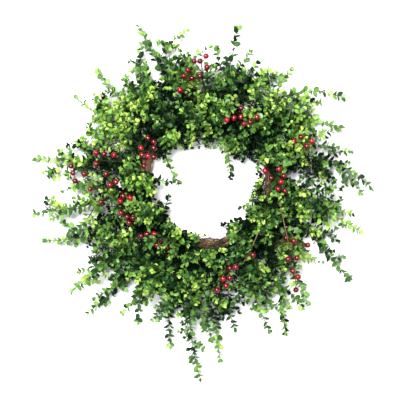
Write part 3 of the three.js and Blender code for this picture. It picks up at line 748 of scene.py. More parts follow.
    def pick(self, plan: PickPlan, owner: str) -> tuple[Curve, list[Berry]]:
        """Lays out a berry pick.

        Args:
            plan: the pick's plan.
            owner: its node's name.

        Returns:
            The pick's stem and its berries.
        """
        seen = [self.photo.place(pixel, plan.height) for pixel in plan.berries]
        centre = sum(seen) / len(seen)
        root = self.ring.seat(plan.root, self.pick_side, centre)
        last = max(seen, key=lambda b: np.linalg.norm(b - root))
        end = last + (centre - last) * 0.4 - UP * self.pick_sinks
        middle = (root + end) / 2 + UP * self.pick_arch * np.linalg.norm(end - root)
        breaks = [i / self.stalk_places for i in range(self.stalk_places + 1)]
        stem = self.bent_clear(self.through(root, middle, end), owner, self.main_seat, lambda _: breaks)
        if stem is None:
            raise ValueError(f"{owner} has no clear way")
        corners = stem.at(np.array(breaks))
        placed: list[Array] = []
        off_berry = 2 * BERRY_RADIUS + self.berry_gap
        off_stem = BERRY_RADIUS + STEM_RADIUS + self.berry_gap
        for pixel in plan.berries:
            for lift in self.berry_lifts:
                spot = self.photo.place(pixel, plan.height + lift)
                if all(np.linalg.norm(other - spot) > off_berry for other in placed) and all(
                    np.linalg.norm(corner - spot) > off_stem for corner in corners
                ):
                    placed.append(spot)
                    break
        berries = []
        for spot in placed:
            feet = [foot for foot in corners[1:] if self._stalk_is_clear(foot, spot, placed)]
            if feet:
                foot = min(feet, key=lambda f: np.linalg.norm(f - spot) + 0.5 * np.linalg.norm(f - root))
                berries.append(Berry(spot, foot))
        for berry in berries:
            self.space.add(berry.middle, BERRY_RADIUS, owner)
            way = berry.middle - berry.foot
            steps = math.ceil(np.linalg.norm(way) / self.stalk_step)
            stalk = np.array([berry.foot + way * s / steps for s in range(steps)])
            self.space.add(stalk, self.stalk_radius, owner)
        return stem, berries

    def _stalk_is_clear(self, foot: Array, spot: Array, placed: Iterable[Array]) -> bool:
        """Tells whether a straight stalk passes clear of the other berries.

        Args:
            foot: where it starts.
            spot: the middle of its own berry.
            placed: the middles of all berries.

        Returns:
            True where it is clear.
        """
        way = spot - foot
        for other in placed:
            if other is spot:
                continue
            share = min(max(float((other - foot) @ way) / float(way @ way), 0.0), 1.0)
            if np.linalg.norm(foot + way * share - other) <= BERRY_RADIUS + self.stalk_radius:
                return False
        return True


# Meshes.


@dataclass(frozen=True)
class Patch:
    """Vertices and triangles of closed bodies, with what the finishes read at each vertex.

    place holds how far along, how far across, and the tone. face is 0 on a leaf's front and 1 on its back.
    """

    points: Array
    triangles: Array
    place: Array
    face: Array
    material: int
    rim: Array

    @classmethod
    def plain(cls, points: Array, triangles: Array, place: Array, material: int) -> "Patch":
        """Gives a patch that has no back and no sharp rim."""
        count = len(points)
        return cls(points, triangles, place, np.zeros(count), material, np.zeros(count, dtype=bool))


class MeshBuilder:
    """Gathers patches and makes one object of them."""

    def __init__(self, to_frame: Array) -> None:
        """Starts with no patches. to_frame is what brings a point into the row frame, in millimetres."""
        self.to_frame = to_frame
        self.patches: list[Patch] = []

    def add(self, patch: Patch | None) -> None:
        """Adds a patch, if there is one."""
        if patch is not None and len(patch.triangles):
            self.patches.append(patch)

    def make(self, name: str, materials: Sequence[Material]) -> Piece:
        """Makes the object.

        Args:
            name: the piece's name.
            materials: its materials, in the order of the patches' numbers.

        Returns:
            The new object, in metres in the row frame.
        """
        points = np.vstack([p.points for p in self.patches])
        starts = np.cumsum([0] + [len(p.points) for p in self.patches[:-1]])
        triangles = np.vstack([p.triangles + s for p, s in zip(self.patches, starts)])
        numbers = np.concatenate([np.full(len(p.triangles), p.material) for p in self.patches])
        rim = np.concatenate([p.rim for p in self.patches])
        mesh = bpy.data.meshes.new(name)
        mesh.vertices.add(len(points))
        mesh.vertices.foreach_set("co", ((points + self.to_frame) * MM).astype(np.float32).ravel())
        mesh.loops.add(3 * len(triangles))
        mesh.loops.foreach_set("vertex_index", triangles.astype(np.int32).ravel())
        mesh.polygons.add(len(triangles))
        mesh.polygons.foreach_set("loop_start", np.arange(0, 3 * len(triangles), 3, dtype=np.int32))
        mesh.polygons.foreach_set("material_index", numbers.astype(np.int32))
        mesh.polygons.foreach_set("use_smooth", np.ones(len(triangles), dtype=bool))
        mesh.update(calc_edges=True)
        ends = np.zeros(2 * len(mesh.edges), dtype=np.int32)
        mesh.edges.foreach_get("vertices", ends)
        place = np.vstack([p.place for p in self.patches]).astype(np.float32)
        face = np.concatenate([p.face for p in self.patches]).astype(np.float32)
        sharp = rim[ends.reshape(-1, 2)].all(axis=1)
        for attribute, kind, domain, key, values in (
            ("place", "FLOAT_VECTOR", "POINT", "vector", place.ravel()),
            ("face", "FLOAT", "POINT", "value", face),
            ("sharp_edge", "BOOLEAN", "EDGE", "value", sharp),
        ):
            mesh.attributes.new(attribute, kind, domain).data.foreach_set(key, values)
        mesh.validate()
        for material in materials:
            mesh.materials.append(material)
        return in_scene(name, mesh)


def spokes(side: Array, other: Array, count: int) -> Array:
    """Gives a row of count directions round each point of a line, from its side by its other direction."""
    angles = np.arange(count) * 2 * np.pi / count
    return side[:, None] * np.cos(angles)[None, :, None] + other[:, None] * np.sin(angles)[None, :, None]


def places(run: Array, sides: int, tone: float | Array) -> Array:
    """Gives what the finishes read at rings of vertices.

    Args:
        run: how far along each ring is.
        sides: the vertices in each ring.
        tone: one tone, or one for each ring.

    Returns:
        How far along, how far round and the tone, for each vertex.
    """
    place = np.zeros((len(run), sides, 3))
    place[:, :, 0] = run[:, None]
    place[:, :, 1] = np.arange(sides)[None, :] / sides
    place[:, :, 2] = np.reshape(tone, (-1, 1))
    return place.reshape(-1, 3)


def wall(rings: int, sides: int, closed: bool = False) -> Array:
    """Gives the triangles between rings of vertices.

    Args:
        rings: how many rings there are.
        sides: the vertices in each ring.
        closed: whether the last ring joins the first.

    Returns:
        The triangles, with their fronts outward.
    """
    i, k = np.meshgrid(np.arange(rings if closed else rings - 1), np.arange(sides), indexing="ij")
    j, after = (i + 1) % rings, (k + 1) % sides
    corners = ((i, k), (i, after), (j, after), (j, k))
    a, b, c, d = ((ring * sides + number).ravel() for ring, number in corners)
    return np.vstack([np.stack([a, b, c], 1), np.stack([a, c, d], 1)])


def caps(rings: int, sides: int) -> Array:
    """Gives the triangles that close the first and the last ring.

    Args:
        rings: how many rings there are.
        sides: the vertices in each ring.

    Returns:
        The triangles, which meet in the two vertices after the rings.
    """
    k = np.arange(sides)
    after = (k + 1) % sides
    first, last, end = rings * sides, rings * sides + 1, (rings - 1) * sides
    near = np.stack([np.full(sides, first), after, k], 1)
    return np.vstack([near, np.stack([np.full(sides, last), end + k, end + after], 1)])


def tube(
    points: Array, radii: Array, sides: int, tone: Array, material: int, pointed: bool = True
) -> Patch:
    """A closed tube along points.

    Args:
        points: the middle line.
        radii: a radius for each point.
        sides: the number of sides.
        tone: the tone at each point.
        material: the number of its material.
        pointed: whether its far end draws in to a point; otherwise it is a low dome.

    Returns:
        The tube.
    """
    count = len(points)
    ahead = unit(np.gradient(points, axis=0))
    side = np.zeros_like(ahead)
    level = UP if abs(ahead[0, 2]) < 0.9 else np.array([1.0, 0.0, 0.0])
    side[0] = unit(np.cross(ahead[0], level))
    for i in range(1, count):
        side[i] = unit(side[i - 1] - ahead[i] * (side[i - 1] @ ahead[i]))
    around = spokes(side, np.cross(ahead, side), sides)
    rings = points[:, None] + around * radii[:, None, None]
    run = np.concatenate([[0], np.cumsum(np.linalg.norm(np.diff(points, axis=0), axis=1))])
    reach = radii[-1] * (POINT_REACH if pointed else DOME_REACH)
    ends = np.array([points[0] - ahead[0] * radii[0] * DOME_REACH, points[-1] + ahead[-1] * reach])
    end_places = np.array([[run[0], 0.5, tone[0]], [run[-1], 0.5, tone[-1]]])
    return Patch.plain(
        np.vstack([rings.reshape(-1, 3), ends]),
        np.vstack([wall(count, sides), caps(count, sides)]),
        np.vstack([places(run, sides, tone), end_places]),
        material,
    )


class LeafShape(Enum):
    """How a leaf is held: how far its sides cup, how far it bends back, how it twists, and its point."""

    CUPPED = (0.34, 0.05, 0.10, 0.88)
    OPEN = (0.16, 0.14, -0.12, 0.84)
    BACK = (0.20, 0.30, 0.16, 0.86)
    FLAT = (0.08, 0.04, -0.22, 0.92)
    FOLDED = (0.52, 0.10, 0.05, 0.82)


class LeafDetail(Enum):
    """How finely a leaf is built: where along it has cross-sections, and the strips across each face."""

    FINE = ((0.08, 0.32, 0.62, 0.88), 4)
    PLAIN = ((0.14, 0.50, 0.85), 2)


@dataclass(frozen=True)
class Blade:
    """What all leaf blades share: their lens, groove and outline, and the wave that runs along them.

    The lens's half thickness and the groove's depth are in millimetres on a leaf of 12. The others are shares
    of the leaf's length, or the powers that make an edge rounder or sharper.
    """

    half_thickness: float = 0.3
    groove: float = 0.16
    lens_power: float = 1.5
    outline_power: float = 0.62
    cup_power: float = 1.6
    cup_height: float = 0.55
    wave: float = 0.035
    wave_along: float = 9.0
    wave_across: float = 2.6
    full_length: float = 12.0
    thinnest: float = 0.62


BLADE = Blade()


@dataclass(frozen=True)
class LeafForm:
    """A leaf blade of length 1 and width 1, as a closed lens with a groove on its front and a rib behind."""

    middle: Array
    thickness: Array
    triangles: Array
    place: Array
    face: Array
    rim: Array

    @classmethod
    def of(cls, shape: LeafShape, detail: LeafDetail) -> "LeafForm":
        """Builds the form.

        Args:
            shape: how the leaf is held.
            detail: how finely it is built.

        Returns:
            The form. Its two faces meet in the rim.
        """
        cup, bend, twist, blunt = shape.value
        stations, strips = detail.value
        across = np.linspace(-1, 1, strips + 1)
        bulge = 1 - np.abs(across) ** BLADE.lens_power
        front_height = BLADE.half_thickness * bulge - BLADE.groove * (across == 0)
        back_height = -BLADE.half_thickness * bulge
        middle, thickness, place, face, rim = [], [], [], [], []

        def put(along: float, share: float, height: float, side: float, on_rim: bool) -> int:
            """Adds a vertex.

            Args:
                along: how far along the leaf.
                share: how far across it, from -1 to 1.
                height: how far off the blade's middle.
                side: 0 on the front and 1 on the back.
                on_rim: whether it is on the rim.

            Returns:
                The vertex's number.
            """
            width = math.sin(math.pi * along**blunt) ** BLADE.outline_power if 0 < along < 1 else 0.0
            y = 0.5 * width * share
            wave = BLADE.wave * math.sin(BLADE.wave_along * along + BLADE.wave_across * share) * abs(share)
            cupped = cup * abs(2 * y) ** BLADE.cup_power * BLADE.cup_height
            z = cupped - bend * along**2 + twist * y * along + wave
            middle.append((along, y, z))
            thickness.append(height)
            place.append((along, share, 0.0))
            face.append(side)
            rim.append(on_rim)
            return len(middle) - 1

        base, tip = put(0.0, 0.0, 0.0, 0.5, True), put(1.0, 0.0, 0.0, 0.5, True)
        fronts, backs = [], []
        inner = range(1, strips)
        for along in stations:
            left, right = put(along, -1, 0, 0.5, True), put(along, 1, 0, 0.5, True)
            fronts.append([left, *(put(along, across[k], front_height[k], 0, False) for k in inner), right])
            backs.append([left, *(put(along, across[k], back_height[k], 1, False) for k in inner), right])
        triangles = []
        for rows, flip in ((fronts, False), (backs, True)):
            own = []
            for k in range(strips):
                own.append((base, rows[0][k], rows[0][k + 1]))
                own.append((tip, rows[-1][k + 1], rows[-1][k]))
                for near, far in zip(rows[:-1], rows[1:]):
                    own += [(near[k], far[k], far[k + 1]), (near[k], far[k + 1], near[k + 1])]
            triangles += [(a, b, c) if flip else (a, c, b) for a, b, c in own]
        columns = (middle, thickness, triangles, place, face, rim)
        return cls(*(np.array(column) for column in columns))


@dataclass(frozen=True)
class LeafSizes:
    """Sizes of the leaves and sprigs, in millimetres, by level: main stem, side twig, sprig."""

    length_at_base: Triple = (17.0, 15.0, 12.0)
    length_at_tip: Triple = (10.6, 9.6, 8.0)
    pitch_at_base: Triple = (11.5, 10.0, 6.6)
    pitch_at_tip: Triple = (8.0, 7.4, 5.2)
    bare: Triple = (0.05, 0.05, 0.14)
    sprig_pitch: Pair = (6.6, 9.0)
    sprig_length: Pair = (20.0, 38.0)
    sprig_radius: float = 0.6
    detailed_over: float = 12.4
    basal: int = 6
    basal_length: Pair = (26.0, 46.0)
    hanging: int = 7
    hanging_length: Pair = (34.0, 58.0)
    inner_scale: float = 0.88


@dataclass(frozen=True)
class SprigHabit:
    """How chance sprigs leave their stem. Angles are in degrees and lengths in millimetres.

    Sprigs start up to the share last of the stem and get shorter towards it. Beyond the body none start but
    the few of sparse, up to the share sparse_until. Basal sprigs fan out from the spray's foot, and hanging
    ones lean in over the hole. Each kind has a length of stem that they start from, a turn to either side
    and a climb.
    """

    last: float = 0.94
    uneven: float = 0.25
    lean: Pair = (30.0, 60.0)
    tilt: float = 58.0
    shortens: float = 0.42
    sparse: float = 0.16
    sparse_until: float = 0.8
    hanging_foot: Pair = (1.0, 16.0)
    hanging_turn: float = 55.0
    hanging_climb: Pair = (-0.2, 0.5)
    basal_foot: Pair = (1.0, 12.0)
    basal_turn: float = 75.0
    basal_climb: Pair = (-0.1, 0.9)
    droop: Pair = (-0.14, 0.08)
    bow: float = 0.35


@dataclass(frozen=True)
class LeafHabit:
    """How leaves stand on their stem.

    lift is how far a leaf faces up, and scatter how far it is turned by chance, each in the body and beyond
    it. lean is towards the stem's tip, in degrees, and grows by lean_on at the tip and by tip_lean for the
    last two pairs. Sizes are spread by size_spread, and width is a share of the length.
    """

    lift: Pair = (0.12, 0.52)
    lift_spread: float = 0.24
    scatter: Pair = (0.38, 0.2)
    first: Pair = (7.0, 3.0)
    uneven: Pair = (0.85, 1.15)
    pair_turn: float = 0.22
    leaf_turn: float = 0.12
    flattened: Pair = (0.85, 0.6)
    lean: Pair = (12.0, 40.0)
    lean_on: float = 20.0
    tip_lean: float = 18.0
    tip_leaves: int = 4
    tip_size: float = 0.72
    size_spread: Pair = (0.82, 1.14)
    width: Pair = (0.56, 0.88)
    off_stem: float = 0.3


@dataclass(frozen=True)
class Body:
    """The wreath's dense body: how far out it reaches, its hole, and where the ring shows at its inner rim.

    reach holds a distance in millimetres for each 30 degrees round the ring, from -180 on. crown holds how
    high the leaves' tops are at some distances from the ring's middle, all in millimetres. hole holds the
    corners of the hole's outline, in pixels of the photograph. overhang holds the stretch of the ring from
    which sprigs hang over the hole: its angle and half its spread in degrees. windows holds places where
    the vines show, each an angle, half its spread in degrees, and the radii between which leaves are few.
    """

    reach: tuple[float, ...] = (256, 250, 238, 254, 244, 218, 244, 228, 224, 224, 232, 238)
    fade: float = 46.0
    crown: tuple[Pair, ...] = (
        (80, 36), (108, 58), (130, 63), (152, 46), (170, 34), (230, 32), (260, 24),
    )
    hole: tuple[Pair, ...] = (
        (154, 160), (172, 151), (192, 148), (216, 149), (230, 157), (254, 164), (256, 180), (250, 198),
        (246, 213), (232, 221), (224, 237), (195, 234), (178, 228), (163, 209), (155, 196), (157, 184),
    )
    overhang: Pair = (92, 48)
    windows: tuple[tuple[float, float, float, float], ...] = (
        (-85, 15, 100, 124),
        (164, 8, 100, 124),
        (0, 16, 98, 116),
    )

    def depth(self, points: Array) -> Array:
        """Gives how far points are inside the body.

        Args:
            points: one point, or rows of points.

        Returns:
            1 for a point in it, down to 0 for one beyond it.
        """
        angle = np.degrees(np.arctan2(points[..., 1], points[..., 0]))
        round_ring = [*self.reach, self.reach[0]]
        reach = np.interp(angle + 180, np.arange(13) * 30, round_ring)
        return np.clip((reach - np.hypot(points[..., 0], points[..., 1])) / self.fade, 0, 1)

    def sunk(self, points: Array) -> Array:
        """Gives how far each point lies under the body's crown, in millimetres."""
        radii, heights = zip(*self.crown)
        return np.interp(np.hypot(points[..., 0], points[..., 1]), radii, heights) - points[..., 2]

    def in_hole(self, points: Array, photo: Photo) -> Array:
        """Tells which points are over the hole, by counting the sides that a line to the left meets.

        Args:
            points: one point, or rows of points.
            photo: what places the hole's corners.

        Returns:
            True for each point that is.
        """
        corners = np.array([photo.place(corner, 30.0)[:2] for corner in self.hole])
        x, y = points[..., 0], points[..., 1]
        inside = np.zeros(x.shape, dtype=bool)
        for (x0, y0), (x1, y1) in zip(corners, np.roll(corners, -1, axis=0)):
            spans = (y0 > y) != (y1 > y)
            inside ^= spans & (x > x0 + (y - y0) * (x1 - x0) / (y1 - y0 + 1e-9))
        return inside

    def overhangs(self, angle: float) -> bool:
        """Tells whether sprigs hang over the hole from this place on the ring."""
        middle, half = self.overhang
        return apart(angle, middle) < half

    def shows_ring(self, points: Array) -> Array:
        """Tells which points lie over a place where the vines show.

        Args:
            points: rows of points.

        Returns:
            True for each point that does.
        """
        angle = np.degrees(np.arctan2(points[:, 1], points[:, 0]))
        radius = np.hypot(points[:, 0], points[:, 1])
        shown = np.zeros(len(points), dtype=bool)
        for middle, half, near, far in self.windows:
            shown |= (apart(angle, middle) < half) & (radius > near) & (radius < far)
        return shown


@dataclass(frozen=True)
class LeafTones:
    """Leaf tones, from 0 for deep green to 1 for yellow-green.

    inner, front and outer hold, for each kind of spray, where its tones start and how far its own brightness
    lifts them. young lifts them towards a stem's tip. The leaves deep in the body get painted shade: their
    tones are lowered from the first to the second of the painted shade range's millimetres under its crown.
    The spreads are those of chance, by leaf and by sprig.
    """

    inner: Pair = (0.34, 0.45)
    front: Pair = (0.23, 0.30)
    outer: Pair = (0.18, 0.50)
    young: float = 0.22
    # Painted shade on leaves deep in the body: how much, and over which depths under the crown.
    painted_shade: float = 0.9
    painted_shade_range: Pair = (0.0, 17.0)
    leaf_spread: float = 0.20
    sprig_spread: float = 0.22
    zone_height: float = 40.0


class ToneAndLightZone(Enum):
    """Places where the leaves' tone is raised or lowered: a pixel, a radius in pixels and the shift in tone.

    The shifts are partly the leaves' own lighter and deeper greens, partly painted light on bright bunches
    and painted shade in dark gaps and wedges.
    """

    UPPER_LEFT_BUNCH = (124, 112, 16, 0.38)
    LEFT_OF_HOLE_BUNCH = (130, 150, 15, 0.62)
    LEFT_BUNCH = (102, 174, 16, 0.32)
    LOW_LEFT_BUNCH = (90, 210, 10, 0.50)
    TOP_BUNCH = (190, 88, 12, 0.38)
    RIGHT_BUNCH = (304, 134, 17, 0.52)
    YELLOW_BUNCH = (337, 217, 9, 0.50)
    LOWER_RIGHT_BUNCH = (300, 260, 14, 0.32)
    RIGHT_OF_HOLE_BUNCH = (250, 200, 13, 0.62)
    HOLE_FOOT_BUNCH = (190, 231, 10, 0.52)
    HOLE_CORNER_BUNCH = (230, 230, 9, 0.60)
    UNDER_LEFT_BUNCH = (130, 230, 9, 0.22)
    HOLE_LEFT_BUNCH = (168, 200, 13, 0.68)
    LEFT_OF_HOLE_FOOT_BUNCH = (150, 190, 9, 0.26)
    ABOVE_HOLE_SHADE = (232, 131, 14, -0.40)
    HOLE_SIDE_SHADE = (270, 134, 13, -0.38)
    UPPER_LEFT_SHADE = (172, 118, 20, -0.36)
    OVER_HOLE_CLUMP_SHADE = (172, 136, 8, -0.34)
    HOLE_LOWER_LEFT_SHADE = (160, 231, 11, -0.30)
    LEFT_WEDGE_SHADE = (136, 80, 20, -0.28)
    TOP_SHADE = (218, 72, 18, -0.16)
    TOP_RIGHT_TIP_SHADE = (230, 50, 10, -0.36)
    RIGHT_UPPER_SHADE = (330, 152, 11, -0.34)
    UNDER_LEFT_SHADE = (108, 211, 9, -0.32)
    TOP_TIP_SHADE = (156, 50, 14, -0.42)
    RIGHT_SHADE = (320, 194, 22, -0.48)
    RIGHT_TIP_SHADE = (348, 178, 15, -0.38)
    LOWER_RIGHT_SHADE = (330, 238, 14, -0.30)
    UNDER_HOLE_SHADE = (252, 248, 15, -0.42)
    LOWER_LEFT_SHADE = (116, 260, 19, -0.42)
    BOTTOM_SHADE = (178, 315, 20, -0.42)
    BOTTOM_RIGHT_SHADE = (248, 298, 20, -0.24)
    LEFT_TIP_SHADE = (86, 250, 15, -0.52)
    RIGHT_END_SHADE = (352, 216, 11, -0.36)
    BOTTOM_TIP_SHADE = (190, 352, 14, -0.34)
    BOTTOM_MIDDLE_TIP_SHADE = (222, 321, 16, -0.42)
    BOTTOM_RIGHT_TIP_SHADE = (272, 328, 11, -0.36)
    LOWER_LEFT_TIP_SHADE = (110, 308, 12, -0.50)


@dataclass
class Clearance:
    """What leaves stay clear of: the wreath's box, the floor and the berries as seen from above.

    A sprig's end stays edge inside the box and lowest_end above the floor. No leaf's middle is over a berry,
    counted from under below the berry's own middle, or nearer than near to its skin. All are in millimetres.
    """

    low: Array
    high: Array
    berries: Array
    edge: float = 5.0
    lowest_end: float = 5.0
    under: float = 2.0
    near: float = 1.5

    def holds(self, end: Array) -> bool:
        """Tells whether a sprig's end is above the floor and well inside the box."""
        inside = (end > self.low + self.edge).all() and (end < self.high - self.edge).all()
        return bool(inside and end[2] > self.lowest_end)

    def keeps(self, points: Array, middles: Array) -> Array:
        """Tells which leaves may stay.

        Args:
            points: each leaf's vertices.
            middles: each leaf's middle.

        Returns:
            True for each leaf that is inside the box and doesn't cover a berry.
        """
        inside = (points >= self.low).all(axis=(1, 2)) & (points <= self.high).all(axis=(1, 2))
        off = middles[:, None] - self.berries[None]
        over = (np.linalg.norm(off[:, :, :2], axis=2) < BERRY_RADIUS) & (off[:, :, 2] > -self.under)
        touching = np.linalg.norm(off, axis=2) < BERRY_RADIUS + self.near
        return inside & ~(over | touching).any(axis=1)


@dataclass
class Spray:
    """A leafy spray: its stems, its sprigs and its leaves, in one piece that replaces its solid.

    leaves holds rows of leaves that are set out but not built: each a foot, an axis, a normal, a length, a
    width and a tone.
    """

    name: str
    plan: SprayPlan
    stems: list[Stem]
    rng: Chance
    forms: dict[LeafDetail, list[LeafForm]]
    clearance: Clearance
    leaves: list[tuple[Array, ...]] = field(default_factory=list)
    sizes: LeafSizes = LeafSizes()
    stem_sides: tuple[int, int, int] = (6, 6, 4)
    stem_step: Triple = (3.6, 4.0, 7.0)
    thins: float = 0.55
    swell: float = 0.16
    swell_every: float = 9.5
    sprig_habit: SprigHabit = SprigHabit()
    leaf_habit: LeafHabit = LeafHabit()
    body: Body = Body()
    tones: LeafTones = LeafTones()
    photo: Photo = Photo()

    def build(self, builder: MeshBuilder, finishes: Sequence[Material]) -> Piece:
        """Builds the spray.

        Args:
            builder: gathers its patches.
            finishes: the stem's material and the leaf's.

        Returns:
            The piece.
        """
        for stem in self.stems + self.sprigs():
            builder.add(self.stem_patch(stem))
            self.set_leaves(stem)
        for patch in self.leaf_patches():
            builder.add(patch)
        return builder.make(self.name + "_foliage", finishes)

    def sprigs(self) -> list[Stem]:
        """Sets short sprigs along the main stem and the side twigs, and fans some out round its foot.

        Returns:
            The sprigs.
        """
        sizes, habit, rng, found = self.sizes, self.sprig_habit, self.rng, []
        for stem in self.stems:
            length = stem.curve.length()
            pitch = sizes.sprig_pitch[stem.level]
            hand = 1 if rng.random() < 0.5 else -1
            for run in np.arange(0.5 * pitch, length * habit.last, pitch):
                run = run + rng.uniform(-habit.uneven, habit.uneven) * pitch
                t = float(stem.curve.t_at(np.array(run)))
                start, ahead = stem.curve.at(t), stem.curve.ahead(t)
                hand = -hand
                lean = math.radians(rng.uniform(*habit.lean))
                tilt = math.radians(rng.uniform(-habit.tilt, habit.tilt))
                reach = rng.uniform(*sizes.sprig_length) * (1 - habit.shortens * run / length)
                sparse = habit.sparse if run < habit.sparse_until * length else 0.0
                if rng.random() > max(self.body.depth(start), sparse):
                    continue
                side = unit(np.cross(ahead, UP))
                out = side * math.cos(tilt) * hand + np.cross(side, ahead) * math.sin(tilt)
                way = ahead * math.cos(lean) + out * math.sin(lean)
                found.append(self.sprig(start, way, out, reach))
        main = self.stems[0].curve
        hanging = sizes.hanging if self.body.overhangs(self.plan.root) else 0
        for _ in range(hanging):
            start = main.at(main.t_at(np.array(rng.uniform(*habit.hanging_foot))))
            inward = unit(-start * LEVEL)
            turn = math.radians(rng.uniform(-habit.hanging_turn, habit.hanging_turn))
            way = inward * math.cos(turn) + np.cross(UP, inward) * math.sin(turn)
            way = unit(way + UP * rng.uniform(*habit.hanging_climb))
            found.append(self.sprig(start, way, UP, rng.uniform(*sizes.hanging_length)))
        for number in range(sizes.basal):
            start = main.at(main.t_at(np.array(rng.uniform(*habit.basal_foot))))
            outward = unit(start * LEVEL)
            round_ring = unit(np.cross(UP, start * LEVEL))
            turn = math.radians(rng.uniform(-habit.basal_turn, habit.basal_turn))
            way = round_ring * (1 if number % 2 else -1) * math.cos(turn) + outward * math.sin(turn)
            way = unit(way + UP * rng.uniform(*habit.basal_climb))
            found.append(self.sprig(start, way, way, rng.uniform(*sizes.basal_length)))
        found = [
            sprig
            for sprig in found
            if self.clearance.holds(sprig.curve.end)
            and not self.body.in_hole(sprig.curve.end, self.photo)
            and not self.is_bare(sprig.curve.end)
        ]
        chosen = [self.chosen_sprig(spot) for spot in CHOSEN_SPRIGS.get(self.name, ())]
        return found + [sprig for sprig in chosen if self.clearance.holds(sprig.curve.end)]

    def is_bare(self, point: Array) -> bool:
        """Tells whether a point is in a bare spot."""
        return any(
            np.linalg.norm((point - self.photo.place(spot, point[2]))[:2]) < spot[2] * self.photo.mm_per_pixel
            for spot in BARE_SPOTS
        )

    def chosen_sprig(self, spot: Triple) -> Stem:
        """Lays out a sprig from the nearest of the spray's stems to a chosen spot.

        Args:
            spot: the spot's pixel and height.

        Returns:
            The sprig.
        """
        end = self.photo.place(spot, spot[2])
        tried = np.linspace(0.02, 0.92, 40)
        points = np.vstack([stem.curve.at(tried) for stem in self.stems])
        ahead = np.vstack([stem.curve.ahead(tried) for stem in self.stems])
        gaps = np.linalg.norm(points - end, axis=1)
        forward = np.sum((end - points) * ahead, axis=1) / gaps
        turns_back = 30 * (forward < 0.35)
        too_short = 60 * (gaps < 14)
        best = int(np.argmin(gaps + turns_back + too_short))
        control = points[best] + ahead[best] * gaps[best] * self.sprig_habit.bow + UP * 2
        return Stem(Curve(points[best], control, end), self.sizes.sprig_radius, 2)

    def sprig(self, start: Array, way: Array, out: Array, reach: float) -> Stem:
        """Lays out one sprig.

        Args:
            start: where it leaves its stem.
            way: the direction that it sets off in.
            out: the direction that it bows in.
            reach: how far it reaches.

        Returns:
            The sprig.
        """
        end = start + way * reach + UP * self.rng.uniform(*self.sprig_habit.droop) * reach
        control = start + unit(way + out * self.sprig_habit.bow) * reach * 0.5
        return Stem(Curve(start, control, end), self.sizes.sprig_radius, 2)

    def stem_patch(self, stem: Stem) -> Patch:
        """Makes a stem as a thin tapering tube that swells a little at each pair of leaves.

        Args:
            stem: the stem.

        Returns:
            The tube.
        """
        length = stem.curve.length()
        end = length - 1.2 * stem.radius
        run = np.linspace(0, end, max(4, int(length / self.stem_step[stem.level])))
        points = stem.curve.at(stem.curve.t_at(run))
        share = run / length
        beat = np.cos(2 * np.pi * run / self.swell_every + self.rng.uniform(0, 6))
        radii = stem.radius * (1 - self.thins * share) * (1 + self.swell * np.maximum(0, beat) ** 4)
        if stem.level == 0:
            points[0] = points[0] - unit(points[1] - points[0]) * FOOT_SUNK
        # Lighter towards the tip; darker deep in the body, which is painted shade.
        tone = self.plan.bright * 0.5 + 0.4 * share * (0.6 + 0.2 * stem.level) - 0.5 * self.body.depth(points)
        tone = np.clip(tone, 0, 1)
        return tube(points, radii, self.stem_sides[stem.level], tone, STEM_MATERIAL)

    def set_leaves(self, stem: Stem) -> None:
        """Sets out pairs of leaves along a stem, each a quarter turn from the last, and two pairs at its tip.

        Args:
            stem: the stem.
        """
        sizes, habit, rng, level = self.sizes, self.leaf_habit, self.rng, stem.level
        scale = sizes.inner_scale if self.plan.kind is SprayKind.INNER else 1.0
        length = stem.curve.length()
        runs, run = [], max(sizes.bare[level] * length, habit.first[min(level, 1)])
        while run < length - 1:
            runs.append(run)
            share = run / length
            pitch = sizes.pitch_at_base[level] * (1 - share) + sizes.pitch_at_tip[level] * share
            run += scale * pitch * rng.uniform(*habit.uneven)
        runs += [length - 0.8, length]
        runs = np.array(runs)
        pairs = len(runs)
        roll = rng.uniform(0, math.pi) + np.arange(pairs) * math.pi / 2
        roll = roll + rng.normal(0, habit.pair_turn, pairs)
        t = np.repeat(stem.curve.t_at(runs), 2)
        share = np.repeat(runs / length, 2)
        count = len(t)
        foot, ahead = stem.curve.at(t), stem.curve.ahead(t)
        side = unit(np.cross(ahead, UP))
        up = np.cross(side, ahead)
        angle = np.repeat(roll, 2) + np.tile([0, math.pi], pairs) + rng.normal(0, habit.leaf_turn, count)
        near_foot, near_tip = habit.flattened
        rise = np.where(share > 0.5, near_tip, near_foot)
        out = unit(side * np.cos(angle)[:, None] + up * (rise * np.sin(angle))[:, None])
        at_tip = np.arange(count) >= count - habit.tip_leaves
        lean = rng.uniform(*habit.lean, count) + habit.lean_on * share + np.where(at_tip, habit.tip_lean, 0)
        lean = np.radians(lean)
        axis = unit(out * np.cos(lean)[:, None] + ahead * np.sin(lean)[:, None])
        deep = self.body.depth(foot) * (self.plan.kind is not SprayKind.INNER)
        lift, scatter = (inner * deep + outer * (1 - deep) for inner, outer in (habit.lift, habit.scatter))
        face_up = lift + rng.normal(0, habit.lift_spread, count)
        scattered = rng.normal(size=(count, 3)) * scatter[:, None]
        normal = ahead * (1 - face_up)[:, None] + UP * face_up[:, None] + scattered
        normal = unit(normal - axis * np.sum(normal * axis, axis=1, keepdims=True))
        size = sizes.length_at_base[level] * (1 - share) + sizes.length_at_tip[level] * share
        size = scale * size * rng.uniform(*habit.size_spread, count) * np.where(at_tip, habit.tip_size, 1)
        width = size * rng.uniform(*habit.width, count)
        foot = foot + out * stem.radius * habit.off_stem
        tone = self.tone_of(foot, share, level)
        tone = tone + rng.normal(0, self.tones.sprig_spread * (1.0 if level == 2 else 0.25))
        self.leaves.append((foot, axis, normal, size, width, np.clip(tone, 0, 1)))

